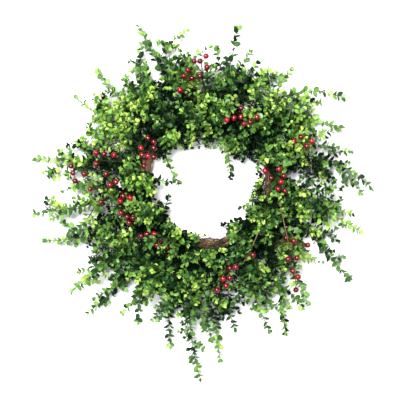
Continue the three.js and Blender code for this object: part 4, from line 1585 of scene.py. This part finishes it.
    def tone_of(self, foot: Array, share: Array, level: int) -> Array:
        """Gives each leaf's tone, from 0 for deep green to 1 for yellow-green, painted light and shade
        included.

        Args:
            foot: the leaves' feet.
            share: how far along their stem they are.
            level: the stem's level.

        Returns:
            The tones, which may lie a little outside that range.
        """
        tones = self.tones
        young = tones.young * share**1.4 + 0.05 * level
        # Painted shade: leaves far under the body's crown are made darker.
        near, far = tones.painted_shade_range
        painted_shade = np.clip((self.body.sunk(foot) - near) / (far - near), 0, 1) * self.body.depth(foot)
        starts = {SprayKind.INNER: tones.inner, SprayKind.FRONT: tones.front, SprayKind.OUTER: tones.outer}
        base, lift = starts[self.plan.kind]
        tone = base + lift * self.plan.bright + young - tones.painted_shade * painted_shade
        tone = tone + self.rng.normal(0, tones.leaf_spread, len(foot))
        # The zones add painted light on bright bunches and painted shade in dark gaps, beside the leaves' own
        # greens.
        for zone in ToneAndLightZone:
            px, py, radius, shift = zone.value
            middle = self.photo.place((px, py), tones.zone_height)
            off = np.linalg.norm(foot[:, :2] - middle[:2], axis=1) / (radius * self.photo.mm_per_pixel)
            tone = tone + shift * np.exp(-(off**2))
        return tone

    def leaf_patches(self) -> list[Patch]:
        """Builds the leaves that are clear of the floor, the box's sides and the berries.

        Returns:
            A patch for each form that is used.
        """
        foot, axis, normal, length, width, tone = (np.concatenate(rows) for rows in zip(*self.leaves))
        side = np.cross(normal, axis)
        which = self.rng.integers(0, len(LeafShape), len(foot))
        fine = length > self.sizes.detailed_over
        middles = foot + axis * length[:, None] / 2
        hidden = self.body.shows_ring(middles)
        if self.plan.kind is not SprayKind.INNER:
            hidden |= self.body.in_hole(middles, self.photo)
        patches = []
        for detail in LeafDetail:
            for number, form in enumerate(self.forms[detail]):
                chosen = (which == number) & (fine == (detail is LeafDetail.FINE)) & ~hidden
                picked = np.nonzero(chosen)[0]
                if not len(picked):
                    continue
                x, y, z = (form.middle[:, k][None, :, None] for k in range(3))
                ell, wide = length[picked][:, None, None], width[picked][:, None, None]
                thinned = np.clip(ell / BLADE.full_length, BLADE.thinnest, 1)
                height = z * ell + form.thickness[None, :, None] * thinned
                points = (
                    foot[picked][:, None]
                    + axis[picked][:, None] * x * ell
                    + side[picked][:, None] * y * wide
                    + normal[picked][:, None] * height
                )
                keep = self.clearance.keeps(points, points.mean(axis=1))
                points, picked = points[keep], picked[keep]
                if not len(picked):
                    continue
                place = np.repeat(form.place[None], len(picked), axis=0)
                place[:, :, 2] = tone[picked][:, None]
                offsets = np.arange(len(picked))[:, None, None] * len(form.middle)
                patches.append(
                    Patch(
                        points.reshape(-1, 3),
                        (form.triangles[None] + offsets).reshape(-1, 3),
                        place.reshape(-1, 3),
                        np.tile(form.face, len(picked)),
                        LEAF_MATERIAL,
                        np.tile(form.rim, len(picked)),
                    )
                )
        return patches


@dataclass
class BerryPick:
    """A pick of glossy berries on thin stalks, in one piece that replaces its solid."""

    name: str
    stem: Curve
    berries: list[Berry]
    seed: int
    stalk_radius: float = 0.6
    rings: int = 12
    sides: int = 18
    stem_parts: int = 24
    stem_sides: int = 8
    stalk_parts: int = 10
    stalk_sides: int = 6
    stalk_bow: float = 0.05
    size_range: Pair = (0.93, 1.0)
    dimple: float = 0.05

    def build(self, builder: MeshBuilder, finishes: Sequence[Material]) -> Piece:
        """Builds the pick.

        Args:
            builder: gathers its patches.
            finishes: the stalks' material and the berries'.

        Returns:
            The piece.
        """
        rng = np.random.default_rng(self.seed)
        run = np.linspace(0, 1, self.stem_parts)
        points = self.stem.at(run)
        points[0] = points[0] - unit(points[1] - points[0]) * FOOT_SUNK
        radii = STEM_RADIUS * (1 - 0.35 * run) * (1 + 0.06 * np.sin(9 * run + rng.uniform(0, 6)))
        builder.add(tube(points, radii, self.stem_sides, 0.02 + 0.1 * run, STALK_MATERIAL))
        for berry in self.berries:
            builder.add(self.stalk(berry, rng))
            builder.add(self.berry(berry, rng))
        return builder.make(self.name + "_sprig", finishes)

    def stalk(self, berry: Berry, rng: Chance) -> Patch:
        """Makes a stalk that bows a little and widens into a small cap under its berry.

        Args:
            berry: its berry.
            rng: the pick's draws.

        Returns:
            The stalk.
        """
        way = berry.middle - berry.foot
        bow = np.cross(unit(way), unit(rng.normal(size=3))) * np.linalg.norm(way) * self.stalk_bow
        share = np.linspace(0, 1, self.stalk_parts)
        end = 1 - 0.9 * BERRY_RADIUS / np.linalg.norm(way)
        points = berry.foot + way * share[:, None] * end + bow * np.sin(math.pi * share)[:, None]
        cap = np.clip((share - 0.86) / 0.14, 0, 1)
        radii = self.stalk_radius * (1 + 0.25 * (1 - share) + 1.3 * cap**2)
        return tube(points, radii, self.stalk_sides, 0.35 + 0.4 * share, STALK_MATERIAL, pointed=False)

    def berry(self, berry: Berry, rng: Chance) -> Patch:
        """Makes a berry: nearly round, with a shallow dimple and a small nub at its far end.

        Args:
            berry: where it is.
            rng: the pick's draws.

        Returns:
            The berry.
        """
        up = unit(berry.middle - berry.foot)
        side = unit(np.cross(up, [0.3, 0.5, 0.81]))
        size = BERRY_RADIUS * rng.uniform(*self.size_range)
        latitude = np.linspace(0, math.pi, self.rings + 2)[1:-1]
        radial = size * np.sin(latitude) * (1 - 0.03 * np.cos(latitude))
        height = -size * 0.97 * np.cos(latitude)
        height = height - size * self.dimple * np.exp(-(((math.pi - latitude) / 0.3) ** 2))
        angles = np.arange(self.sides) * 2 * np.pi / self.sides
        lumps = 1 + 0.012 * np.sin(3 * angles + rng.uniform(0, 6))[None, :] * np.sin(latitude)[:, None]
        circle = spokes(side[None], np.cross(up, side)[None], self.sides)
        outward = circle * (radial[:, None] * lumps)[:, :, None]
        rings = berry.middle + outward + up * height[:, None, None]
        ends = np.array([berry.middle - up * size * 0.96, berry.middle + up * size * 0.99])
        tone = rng.uniform(0, 1)
        end_places = [[0, 0.5, tone], [1, 0.5, tone]]
        return Patch.plain(
            np.vstack([rings.reshape(-1, 3), ends]),
            np.vstack([wall(self.rings, self.sides), caps(self.rings, self.sides)]),
            np.vstack([places(latitude / math.pi, self.sides, tone), end_places]),
            BERRY_MATERIAL,
        )


@dataclass
class VineRing:
    """The ring: four vines with ridged bark and knots, and thin tendrils wound round them.

    loose_ends holds the bare stems that show over the leaves, each a start, a middle and an end, given as a
    pixel and a height. way_round is the length once round the ring that the bark's pattern is laid out by.
    The bark's ridge, ripples and knot_height are shares of a vine's radius, and knot_spread is an angle in
    radians. ridges holds how many waves of each kind there are round a vine.
    """

    layout: RingLayout
    photo: Photo = Photo()
    way_round: float = 735.0
    loose_ends: tuple[tuple[Triple, ...], ...] = (
        ((279, 199, 38), (285, 227, 62), (290, 250, 46)),
        ((262, 220, 40), (255, 240, 66), (243, 263, 48)),
    )
    sides: int = 18
    parts: int = 360
    bark_radius: float = 0.95
    ridges: tuple[int, ...] = (5, 7, 9)
    ridge: float = 0.05
    ripple: float = 0.03
    fine_ripple: float = 0.02
    knots: int = 9
    knot_height: float = 0.17
    knot_spread: float = 0.028
    tendrils: int = 9
    tendril_sides: int = 6
    tendril_radius: Pair = (0.55, 1.15)
    tendril_sweep: Pair = (90.0, 230.0)
    tendril_turns: Pair = (4.0, 8.0)
    tendril_off: float = 5.6
    tendril_clear: float = 0.3
    tendril_seed: int = 71
    floor: float = 0.05

    def closed_tube(self, points: Array, radii: Array, tone: Array) -> Patch:
        """Makes a tube that closes on itself.

        Args:
            points: the middle line, which ends where it began.
            radii: a row of radii for each point.
            tone: the tone at each point.

        Returns:
            The tube.
        """
        count, sides = radii.shape
        ahead = unit(np.roll(points, -1, axis=0) - np.roll(points, 1, axis=0))
        out = points * LEVEL
        out = unit(out - ahead * np.sum(out * ahead, axis=1, keepdims=True))
        rings = points[:, None] + spokes(out, np.cross(ahead, out), sides) * radii[:, :, None]
        rings[:, :, 2] = np.maximum(rings[:, :, 2], self.floor)
        place = places(np.arange(count) / count * self.way_round, sides, tone)
        return Patch.plain(rings.reshape(-1, 3), wall(count, sides, closed=True), place, 0)

    def vine(self, vine: Vine, builder: MeshBuilder, finish: Material, seed: int) -> Piece:
        """Builds a vine.

        Args:
            vine: which vine.
            builder: gathers its patch.
            finish: the bark.
            seed: its draws' seed.

        Returns:
            The piece.
        """
        rng = np.random.default_rng(seed)
        turn = np.linspace(0, 360, self.parts, endpoint=False)
        points = np.array([self.layout.point(vine, angle) for angle in turn])
        around = np.arange(self.sides) * 2 * np.pi / self.sides
        along = np.radians(turn)[:, None]
        relief = np.zeros((self.parts, self.sides))
        for waves in self.ridges:
            drift = rng.uniform(0, 6) + 0.9 * np.sin(along * rng.integers(2, 6) + rng.uniform(0, 6))
            relief += self.ridge / len(self.ridges) * np.sin(waves * around[None, :] + drift)
        relief += self.ripple * np.sin(along * 31 + rng.uniform(0, 6))
        relief += self.fine_ripple * np.sin(along * 67 + 2 * around[None, :])
        for knot in range(self.knots):
            at = (knot + rng.uniform(-0.3, 0.3)) * 2 * math.pi / self.knots
            off = np.angle(np.exp(1j * (along - at)))
            swell = self.knot_height * np.exp(-((off / self.knot_spread) ** 2))
            relief += swell * (1 + 0.5 * np.sin(around[None, :] + knot))
        radii = vine.radius * (self.bark_radius + relief)
        tone = 0.4 + 0.25 * np.sin(np.radians(turn) * 4 + rng.uniform(0, 6)) + rng.normal(0, 0.02, self.parts)
        builder.add(self.closed_tube(points, radii, tone))
        return builder.make(vine.name + "_bark", [finish])

    def tendril_ring(self, builder: MeshBuilder, finish: Material) -> Piece:
        """Builds the thin tendrils that are wound round the four vines, and the loose ends.

        Args:
            builder: gathers their patches.
            finish: their bark.

        Returns:
            The piece.
        """
        rng = np.random.default_rng(self.tendril_seed)
        layout = self.layout
        for number in range(self.tendrils):
            begin, sweep = rng.uniform(0, 360), rng.uniform(*self.tendril_sweep)
            turns = rng.uniform(*self.tendril_turns) * (1 if number % 3 else -1)
            angles = np.linspace(begin, begin + sweep, int(sweep))
            spin = turns * (angles - begin) + rng.uniform(0, 360)
            sway = 1.1 * np.sin(np.radians(angles * 5 + number * 40))
            far = layout.twist_radius + self.tendril_off + sway
            radius = rng.uniform(*self.tendril_radius)
            points = [layout.middle(a) + across_ring(a, s) * f for a, s, f in zip(angles, spin, far)]
            points = np.array(points)
            points[:, 2] = np.maximum(points[:, 2], radius + self.tendril_clear)
            share = np.linspace(0, 1, len(points))
            radii = radius * (1 - 0.5 * share**2) * (1 + 0.08 * np.sin(angles * 0.9))
            tone = np.full(len(points), rng.uniform(0.3, 0.9))
            builder.add(tube(points, radii, self.tendril_sides, tone, 0))
        for start, middle, end in self.loose_ends:
            spots = [self.photo.place(spot, spot[2]) for spot in (start, middle, end)]
            share = np.linspace(0, 1, 26)
            points = Layout.through(*spots).at(share)
            points[:, 2] += 0.5 * np.sin(share * 11)
            builder.add(tube(points, 1.0 - 0.4 * share, self.tendril_sides, np.ones(len(points)), 0))
        return builder.make("ring_tendrils", [finish])


# Finishes.


class NodeBoard:
    """The shader nodes of one material, and short ways to add and join them."""

    def __init__(self, name: str) -> None:
        """Makes a material with a Principled shader on its output.

        Args:
            name: the material's name.
        """
        self.material = bpy.data.materials.new(name)
        self.material.use_nodes = True
        self.nodes = self.material.node_tree.nodes
        self.links = self.material.node_tree.links
        self.nodes.clear()
        self.shader = self.add("BsdfPrincipled", {})
        self.add("OutputMaterial", {0: self.shader.outputs[0]})

    def add(self, kind: str, inputs: dict[int | str, object], **settings: object) -> bpy.types.Node:
        """Adds a node.

        Args:
            kind: its kind, as Blender names it after ShaderNode.
            inputs: a socket, a number or a colour for each input, by the input's name or place.
            settings: the node's own settings.

        Returns:
            The node.
        """
        node = self.nodes.new("ShaderNode" + kind)
        for name, setting in settings.items():
            setattr(node, name, setting)
        for key, value in inputs.items():
            self.put(value, node.inputs[key])
        return node

    def put(self, value: object, socket: NodeSocket) -> None:
        """Links a socket to an input, or sets a number or a colour on it.

        Args:
            value: the socket, the number or the colour.
            socket: the input.
        """
        if isinstance(value, NodeSocket):
            self.links.new(value, socket)
        else:
            socket.default_value = (*value, 1.0) if isinstance(value, tuple) else value

    def give(self, name: str, value: object) -> None:
        """Puts a value on the shader's input of this name."""
        self.put(value, self.shader.inputs[name])

    def place(self) -> list[NodeSocket]:
        """Reads how far along, how far across or round, and the tone, at each vertex."""
        vector = self.add("Attribute", {}, attribute_name="place").outputs["Vector"]
        return list(self.add("SeparateXYZ", {0: vector}).outputs)

    def join(self, x: object, y: object, z: object) -> NodeSocket:
        """Joins three numbers or sockets into a vector."""
        return self.add("CombineXYZ", {0: x, 1: y, 2: z}).outputs[0]

    def math(self, operation: str, a: object, b: object = 0.0, clamp: bool = False) -> NodeSocket:
        """Works on one or two numbers or sockets."""
        return self.add("Math", {0: a, 1: b}, operation=operation, use_clamp=clamp).outputs[0]

    def sway(self, noise: NodeSocket, by: float) -> NodeSocket:
        """Gives a noise as a shift to either side of 0, of at most half of by."""
        return self.math("MULTIPLY", self.math("SUBTRACT", noise, 0.5), by)

    def grain(self, scale: float, detail: float) -> NodeSocket:
        """Gives a noise in the object's own coordinates."""
        return self.noise(scale, detail, self.add("TexCoord", {}).outputs["Object"])

    def noise(self, scale: float, detail: float, at: NodeSocket, rough: float = 0.5) -> NodeSocket:
        """Gives a noise in coordinates of its own."""
        inputs = {"Vector": at, "Scale": scale, "Detail": detail, "Roughness": rough}
        return self.add("TexNoise", inputs).outputs["Fac"]

    def span(
        self, value: NodeSocket, low: float, high: float, to_low: float = 0.0, to_high: float = 1.0
    ) -> NodeSocket:
        """Maps the range from low to high to another, and holds it there."""
        return self.add("MapRange", {0: value, 1: low, 2: high, 3: to_low, 4: to_high}).outputs[0]

    def mix(self, share: object, first: object, second: object) -> NodeSocket:
        """Mixes two colours."""
        return self.add("Mix", {0: share, 6: first, 7: second}, data_type="RGBA").outputs[2]

    def bump(self, height: NodeSocket, strength: float, distance: float) -> None:
        """Puts a bump on the shader's normal."""
        node = self.add("Bump", {"Strength": strength, "Distance": distance, "Height": height})
        self.give("Normal", node.outputs[0])

    def ramp(self, value: NodeSocket, stops: Sequence[tuple[float, Colour]]) -> NodeSocket:
        """Adds a ramp of colours.

        Args:
            value: where on the ramp.
            stops: places on the ramp from 0 to 1, each with its colour.

        Returns:
            The colour there.
        """
        node = self.add("ValToRGB", {0: value})
        elements = node.color_ramp.elements
        while len(elements) < len(stops):
            elements.new(0.5)
        for element, (place, colour) in zip(elements, stops):
            element.position = place
            element.color = (*colour, 1.0)
        return node.outputs[0]


@dataclass(frozen=True)
class LeafFinish:
    """Satin leaf: green by tone, which carries painted light and shade, paler veins and rim, a paler back,
    and fine mottling.

    mottle and patch each hold a noise's scale and how far it sways the tone. Veins and rim are placed by how
    far off the midrib they are, from 0 to 1. paling holds the tones between which veins, rim and back show
    more and more, then how much they show at each of the two.
    """

    stops: tuple[tuple[float, Colour], ...] = (
        (0.0, (0.0008, 0.0050, 0.0020)),
        (0.22, (0.0018, 0.0130, 0.0030)),
        (0.42, (0.0200, 0.0780, 0.0095)),
        (0.66, (0.0900, 0.2100, 0.0220)),
        (0.86, (0.1950, 0.3450, 0.0410)),
        (1.0, (0.3200, 0.4600, 0.0740)),
    )
    vein: Colour = (0.13, 0.23, 0.07)
    back: Colour = (0.040, 0.100, 0.036)
    roughness: Pair = (0.32, 0.48)
    shine: Pair = (0.05, 0.32)
    mottle: Pair = (420.0, 0.16)
    patch: Pair = (95.0, 0.20)
    midrib: Pair = (0.03, 0.13)
    vein_slant: float = 0.34
    vein_waves: float = 19.0
    vein_width: float = 0.17
    vein_fade: Pair = (0.55, 0.95)
    vein_strength: float = 0.55
    rim: float = 0.86
    rim_strength: float = 0.90
    paling: tuple[float, float, float, float] = (0.12, 0.6, 0.05, 0.40)
    grain_height: float = 0.5
    vein_depth: float = 0.6

    def veins(self, board: NodeBoard, along: NodeSocket, off: NodeSocket) -> NodeSocket:
        """Draws the midrib and the slanted side veins.

        Args:
            board: the material's nodes.
            along: how far along the leaf.
            off: how far off its midrib.

        Returns:
            How much of them shows.
        """
        midrib = board.span(off, *self.midrib, 1.0, 0.0)
        slanted = board.math("SUBTRACT", along, board.math("MULTIPLY", off, self.vein_slant))
        wave = board.math("ABSOLUTE", board.math("SINE", board.math("MULTIPLY", slanted, self.vein_waves)))
        side_veins = board.span(wave, 0.0, self.vein_width, 1.0, 0.0)
        fading = board.span(off, *self.vein_fade, self.vein_strength, 0.0)
        return board.math("MAXIMUM", midrib, board.math("MULTIPLY", side_veins, fading))

    def material(self) -> Material:
        """Makes the material.

        Returns:
            The material.
        """
        board = NodeBoard("leaf satin green")
        along, across, tone = board.place()
        mottle, patchy = board.grain(self.mottle[0], 4.0), board.grain(self.patch[0], 2.0)
        swayed = board.math("ADD", tone, board.sway(mottle, self.mottle[1]))
        shaded = board.math("ADD", swayed, board.sway(patchy, self.patch[1]), clamp=True)
        paling = board.span(shaded, *self.paling)
        off = board.math("ABSOLUTE", across)
        veins = self.veins(board, along, off)
        rim = board.span(off, self.rim, 1.0, 0.0, self.rim_strength)
        face = board.add("Attribute", {}, attribute_name="face").outputs["Fac"]
        # The tone brings in the painted light and shade; veins, rim and back fade with it in the deep tones.
        colour = board.ramp(shaded, self.stops)
        for share, over in ((veins, self.vein), (rim, self.vein), (face, self.back)):
            colour = board.mix(board.math("MULTIPLY", share, paling), colour, over)
        board.give("Base Color", colour)
        board.give("Roughness", board.span(mottle, 0.3, 0.7, *self.roughness))
        # Leaves in painted shade also get a lower specular level.
        board.give("Specular IOR Level", board.span(shaded, 0.1, 0.6, *self.shine))
        grain = board.math("MULTIPLY", mottle, self.grain_height)
        sunken = board.math("MULTIPLY", veins, self.vein_depth)
        board.bump(board.math("SUBTRACT", grain, sunken), 0.45, 0.0004)
        return board.material


@dataclass(frozen=True)
class StemFinish:
    """Stem: brown-green at the foot and green at the tip by its tone, which also carries painted shade deep
    in the body, with fine lengthwise streaks.
    """

    stops: tuple[tuple[float, Colour], ...] = (
        (0.0, (0.014, 0.018, 0.008)),
        (0.45, (0.036, 0.052, 0.016)),
        (1.0, (0.105, 0.150, 0.034)),
    )
    streak: Colour = (0.02, 0.022, 0.012)
    streak_along: float = 0.12
    streak_around: float = 9.0
    sway: float = 0.2
    roughness: Pair = (0.5, 0.75)

    def material(self) -> Material:
        """Makes the material.

        Returns:
            The material.
        """
        board = NodeBoard("stem wrapped green")
        run, around, tone = board.place()
        along = board.math("MULTIPLY", run, self.streak_along)
        across = board.math("MULTIPLY", around, self.streak_around)
        streaks = board.noise(1.0, 3.0, board.join(along, across, 0.0))
        level = board.math("ADD", tone, board.math("MULTIPLY", streaks, self.sway), clamp=True)
        dark = board.span(streaks, 0.55, 0.75, 0.0, 0.5)
        board.give("Base Color", board.mix(dark, board.ramp(level, self.stops), self.streak))
        board.give("Roughness", board.span(streaks, 0.3, 0.7, *self.roughness))
        board.give("Specular IOR Level", 0.15)
        board.bump(streaks, 0.5, 0.0003)
        return board.material


@dataclass(frozen=True)
class BerryFinish:
    """Berry: deep glossy lacquer, a little darker near the stalk, with a dark nub at the far end.

    A berry's level on the ramp starts at base, and the draw of each berry, the clouds and the shade near the
    stalk move it. nub_from holds where along the berry the nub's colour begins and is full.
    """

    stops: tuple[tuple[float, Colour], ...] = (
        (0.0, (0.015, 0.0002, 0.0010)),
        (0.5, (0.088, 0.0005, 0.0044)),
        (1.0, (0.335, 0.0022, 0.014)),
    )
    nub: Colour = (0.035, 0.006, 0.006)
    nub_from: Pair = (0.955, 0.985)
    base: float = 0.2
    by_berry: float = 0.5
    cloud: Pair = (240.0, 0.9)
    stalk_shade: Pair = (-0.25, 0.05)
    roughness: Pair = (0.08, 0.16)
    coat: float = 0.5
    coat_roughness: float = 0.03

    def material(self) -> Material:
        """Makes the material.

        Returns:
            The material.
        """
        board = NodeBoard("berry lacquer red")
        height, _, tone = board.place()
        cloudy = board.grain(self.cloud[0], 3.0)
        level = board.math("ADD", board.math("MULTIPLY", tone, self.by_berry), self.base)
        level = board.math("ADD", level, board.sway(cloudy, self.cloud[1]))
        level = board.math("ADD", level, board.span(height, 0.0, 0.4, *self.stalk_shade), clamp=True)
        nub = board.span(height, *self.nub_from)
        board.give("Base Color", board.mix(nub, board.ramp(level, self.stops), self.nub))
        board.give("Roughness", board.span(cloudy, 0.3, 0.7, *self.roughness))
        board.give("Specular IOR Level", 0.25)
        board.give("Coat Weight", self.coat)
        board.give("Coat Roughness", self.coat_roughness)
        board.bump(cloudy, 0.12, 0.0003)
        return board.material


@dataclass(frozen=True)
class StalkFinish:
    """Berry stalk: dark red with brown flecks."""

    stops: tuple[tuple[float, Colour], ...] = (
        (0.0, (0.005, 0.006, 0.003)),
        (0.3, (0.014, 0.004, 0.003)),
        (1.0, (0.070, 0.005, 0.006)),
    )
    fleck: Pair = (600.0, 0.5)
    roughness: Pair = (0.4, 0.65)

    def material(self) -> Material:
        """Makes the material.

        Returns:
            The material.
        """
        board = NodeBoard("stalk dark red")
        tone = board.place()[2]
        flecks = board.grain(self.fleck[0], 4.0)
        level = board.math("ADD", tone, board.sway(flecks, self.fleck[1]), clamp=True)
        board.give("Base Color", board.ramp(level, self.stops))
        board.give("Roughness", board.span(flecks, 0.3, 0.7, *self.roughness))
        board.give("Specular IOR Level", 0.15)
        board.bump(flecks, 0.4, 0.0003)
        return board.material


@dataclass(frozen=True)
class BarkFinish:
    """Vine bark: lengthwise ridges and cracks from dark to tan, with fibres.

    fibre and blotch each hold a noise's scale, its scale along the vine, and how far down and up it moves the
    level on the ramp. lit is how far the vine's own tone moves it.
    """

    name: str = "vine bark"
    stops: tuple[tuple[float, Colour], ...] = (
        (0.0, (0.024, 0.010, 0.005)),
        (0.40, (0.120, 0.056, 0.024)),
        (0.72, (0.280, 0.150, 0.068)),
        (1.0, (0.460, 0.300, 0.160)),
    )
    fibre: tuple[float, float, float, float] = (3.4, 0.030, -0.15, 0.75)
    blotch: tuple[float, float, float, float] = (1.0, 0.06, -0.2, 0.15)
    tone_weight: float = 0.3
    roughness: Pair = (0.9, 0.65)

    def material(self) -> Material:
        """Makes the material.

        Returns:
            The material.
        """
        board = NodeBoard(self.name)
        run, around, tone = board.place()
        turn = board.math("MULTIPLY", around, 2 * math.pi)
        round_x, round_y = board.math("COSINE", turn), board.math("SINE", turn)

        def pattern(scale: float, along: float, detail: float, rough: float) -> NodeSocket:
            """Gives a noise that is drawn out along the vine."""
            spot = board.join(board.math("MULTIPLY", run, along), round_x, round_y)
            return board.noise(scale, detail, spot, rough)

        fibre, blotch = pattern(*self.fibre[:2], 5.0, 0.65), pattern(*self.blotch[:2], 3.0, 0.5)
        tone_weight = board.math("MULTIPLY", tone, self.tone_weight)
        level = board.math("ADD", board.span(fibre, 0.3, 0.72, *self.fibre[2:]), tone_weight)
        level = board.math("ADD", level, board.span(blotch, 0.3, 0.7, *self.blotch[2:]), clamp=True)
        board.give("Base Color", board.ramp(level, self.stops))
        board.give("Roughness", board.span(fibre, 0.3, 0.7, *self.roughness))
        board.bump(fibre, 0.9, 0.0012)
        return board.material


@dataclass(frozen=True)
class FloorFinish:
    """Plain white floor with a very faint grain."""

    colour: Colour = (0.78, 0.78, 0.78)
    grain: float = 0.99

    def material(self) -> Material:
        """Makes the material.

        Returns:
            The material.
        """
        board = NodeBoard("studio floor")
        low = tuple(self.grain * c for c in self.colour)
        board.give("Base Color", board.mix(board.grain(40.0, 2.0), low, self.colour))
        board.give("Roughness", 0.9)
        board.give("Specular IOR Level", 0.1)
        return board.material


# The studio.


@dataclass(frozen=True)
class Softbox:
    """A square lamp that looks at the wreath's middle: its place and size in metres, its power in watts."""

    name: str
    place: Triple
    size: float
    energy: float

    def build(self) -> None:
        """Makes the lamp."""
        light = bpy.data.lights.new(self.name, "AREA")
        light.size = self.size
        light.energy = self.energy
        made = in_scene(self.name, light)
        made.location = self.place
        made.rotation_mode = "QUATERNION"
        made.rotation_quaternion = (-made.location).to_track_quat("-Z", "Y")


@dataclass
class Studio:
    """Floor, soft light and the camera straight above, as the photograph was taken."""

    photo: Photo
    to_frame: Array
    field_of_view_mm: float = 740.0
    sensor: float = 36.0
    clip_end: float = 50.0
    floor_half: float = 3.0
    softboxes: tuple[Softbox, ...] = (
        Softbox("key softbox", (-0.62, 0.7, 2.2), 1.2, 184.0),
        Softbox("side softbox", (1.15, 0.3, 2.1), 0.8, 22.0),
        Softbox("low softbox", (0.1, -1.15, 2.1), 0.8, 20.0),
    )
    sky: float = 0.13

    def build(self) -> None:
        """Makes the floor, the lamps, the sky and the camera."""
        self.floor()
        for softbox in self.softboxes:
            softbox.build()
        self.world()
        self.camera()
        settings = bpy.context.scene.view_settings
        settings.view_transform = "Standard"
        settings.look = "None"
        LOG.info("studio: floor, %d softboxes, sky and camera", len(self.softboxes))

    def floor(self) -> None:
        """Makes the floor."""
        half = self.floor_half
        mesh = bpy.data.meshes.new("floor")
        corners = [(-half, -half, 0.0), (half, -half, 0.0), (half, half, 0.0), (-half, half, 0.0)]
        mesh.from_pydata(corners, [], [(0, 1, 2, 3)])
        mesh.materials.append(FloorFinish().material())
        in_scene("floor", mesh)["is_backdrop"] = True

    def world(self) -> None:
        """Makes an even white sky."""
        world = bpy.data.worlds.new("white sky")
        world.use_nodes = True
        background = world.node_tree.nodes["Background"]
        background.inputs[0].default_value = (1.0, 1.0, 1.0, 1.0)
        background.inputs[1].default_value = self.sky
        bpy.context.scene.world = world

    def camera(self) -> None:
        """Makes the camera, above the photograph's own middle, looking straight down."""
        data = bpy.data.cameras.new("camera")
        data.sensor_width = self.sensor
        data.lens = self.sensor * self.photo.eye_height / self.field_of_view_mm
        data.clip_end = self.clip_end
        made = in_scene("camera", data)
        made.location = (self.photo.place(self.photo.middle, self.photo.eye_height) + self.to_frame) * MM
        bpy.context.scene.camera = made


# The wreath.


@dataclass
class Wreath:
    """The whole wreath: ring, berry picks and sprays, each riding on the frame."""

    layout: Layout
    to_frame: Array
    clearance_margin: float = 1.0
    lowest_leaf: float = 0.6
    vine_seed: int = 31
    pick_seed: int = 900
    spray_seed: int = 40

    def settle(self, piece: Piece, node: str | None = None) -> None:
        """Lets a piece ride on the frame, and reports it.

        Args:
            piece: the piece.
            node: the node whose place it takes, if any.
        """
        if node:
            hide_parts(node)
        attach(piece, "root")
        LOG.info("%s: %d triangles", piece.name, len(piece.data.polygons))

    def build(self, box_low: Array, box_high: Array) -> None:
        """Builds every piece.

        Args:
            box_low: the frame's lowest corner, in metres.
            box_high: its highest corner.
        """
        bark, tendril = BarkFinish().material(), BarkFinish("tendril bark").material()
        leaf, stem_green = LeafFinish().material(), StemFinish().material()
        berry, stalk = BerryFinish().material(), StalkFinish().material()
        ring = VineRing(self.layout.ring)
        for number, vine in enumerate(self.layout.ring.vines):
            piece = ring.vine(vine, MeshBuilder(self.to_frame), bark, self.vine_seed + number)
            self.settle(piece, vine.name)
        self.settle(ring.tendril_ring(MeshBuilder(self.to_frame), tendril))
        berries: list[Berry] = []
        for number, plan in enumerate(PICKS, 1):
            name = f"berry_pick_{number}"
            curve, found = self.layout.pick(plan, name)
            berries += found
            pick = BerryPick(name, curve, found, self.pick_seed + number)
            self.settle(pick.build(MeshBuilder(self.to_frame), [stalk, berry]), name)
        low = box_low / MM - self.to_frame + self.clearance_margin
        high = box_high / MM - self.to_frame - self.clearance_margin
        low[2] = self.lowest_leaf
        clearance = Clearance(low, high, np.array([b.middle for b in berries]))
        forms = {detail: [LeafForm.of(shape, detail) for shape in LeafShape] for detail in LeafDetail}
        numbers = {kind: 0 for kind in SprayKind}
        names = []
        for plan in SPRAYS:
            numbers[plan.kind] += 1
            names.append(f"{plan.kind.value}_{numbers[plan.kind]}")
        mains = [self.layout.main_stem(plan, name) for plan, name in zip(SPRAYS, names)]
        for index, (plan, name, main_curve) in enumerate(zip(SPRAYS, names, mains)):
            stems = self.layout.spray(plan, main_curve, index, name)
            rng = np.random.default_rng(self.spray_seed + index)
            spray = Spray(name, plan, stems, rng, forms, clearance)
            piece = spray.build(MeshBuilder(self.to_frame), [stem_green, leaf])
            self.settle(piece, name)


def ring_middle() -> Array:
    """Finds the ring's middle from the two thick vines' boxes.

    Returns:
        The middle in the row frame, in millimetres.
    """
    first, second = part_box("thick_vine_1"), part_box("thick_vine_2")
    low = np.minimum(np.array(first[0]), np.array(second[0]))
    high = np.maximum(np.array(first[1]), np.array(second[1]))
    middle = (low + high) / 2 / MM
    return np.array([middle[0], middle[1], 0.0])


def main() -> None:
    logging.basicConfig(level=logging.INFO, format="%(message)s")
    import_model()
    cad_low, cad_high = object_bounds()
    to_frame = ring_middle()
    layout = Layout()
    Studio(layout.photo, to_frame).build()
    Wreath(layout, to_frame).build(np.array(cad_low), np.array(cad_high))
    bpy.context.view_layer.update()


if __name__ == "__main__":
    main()
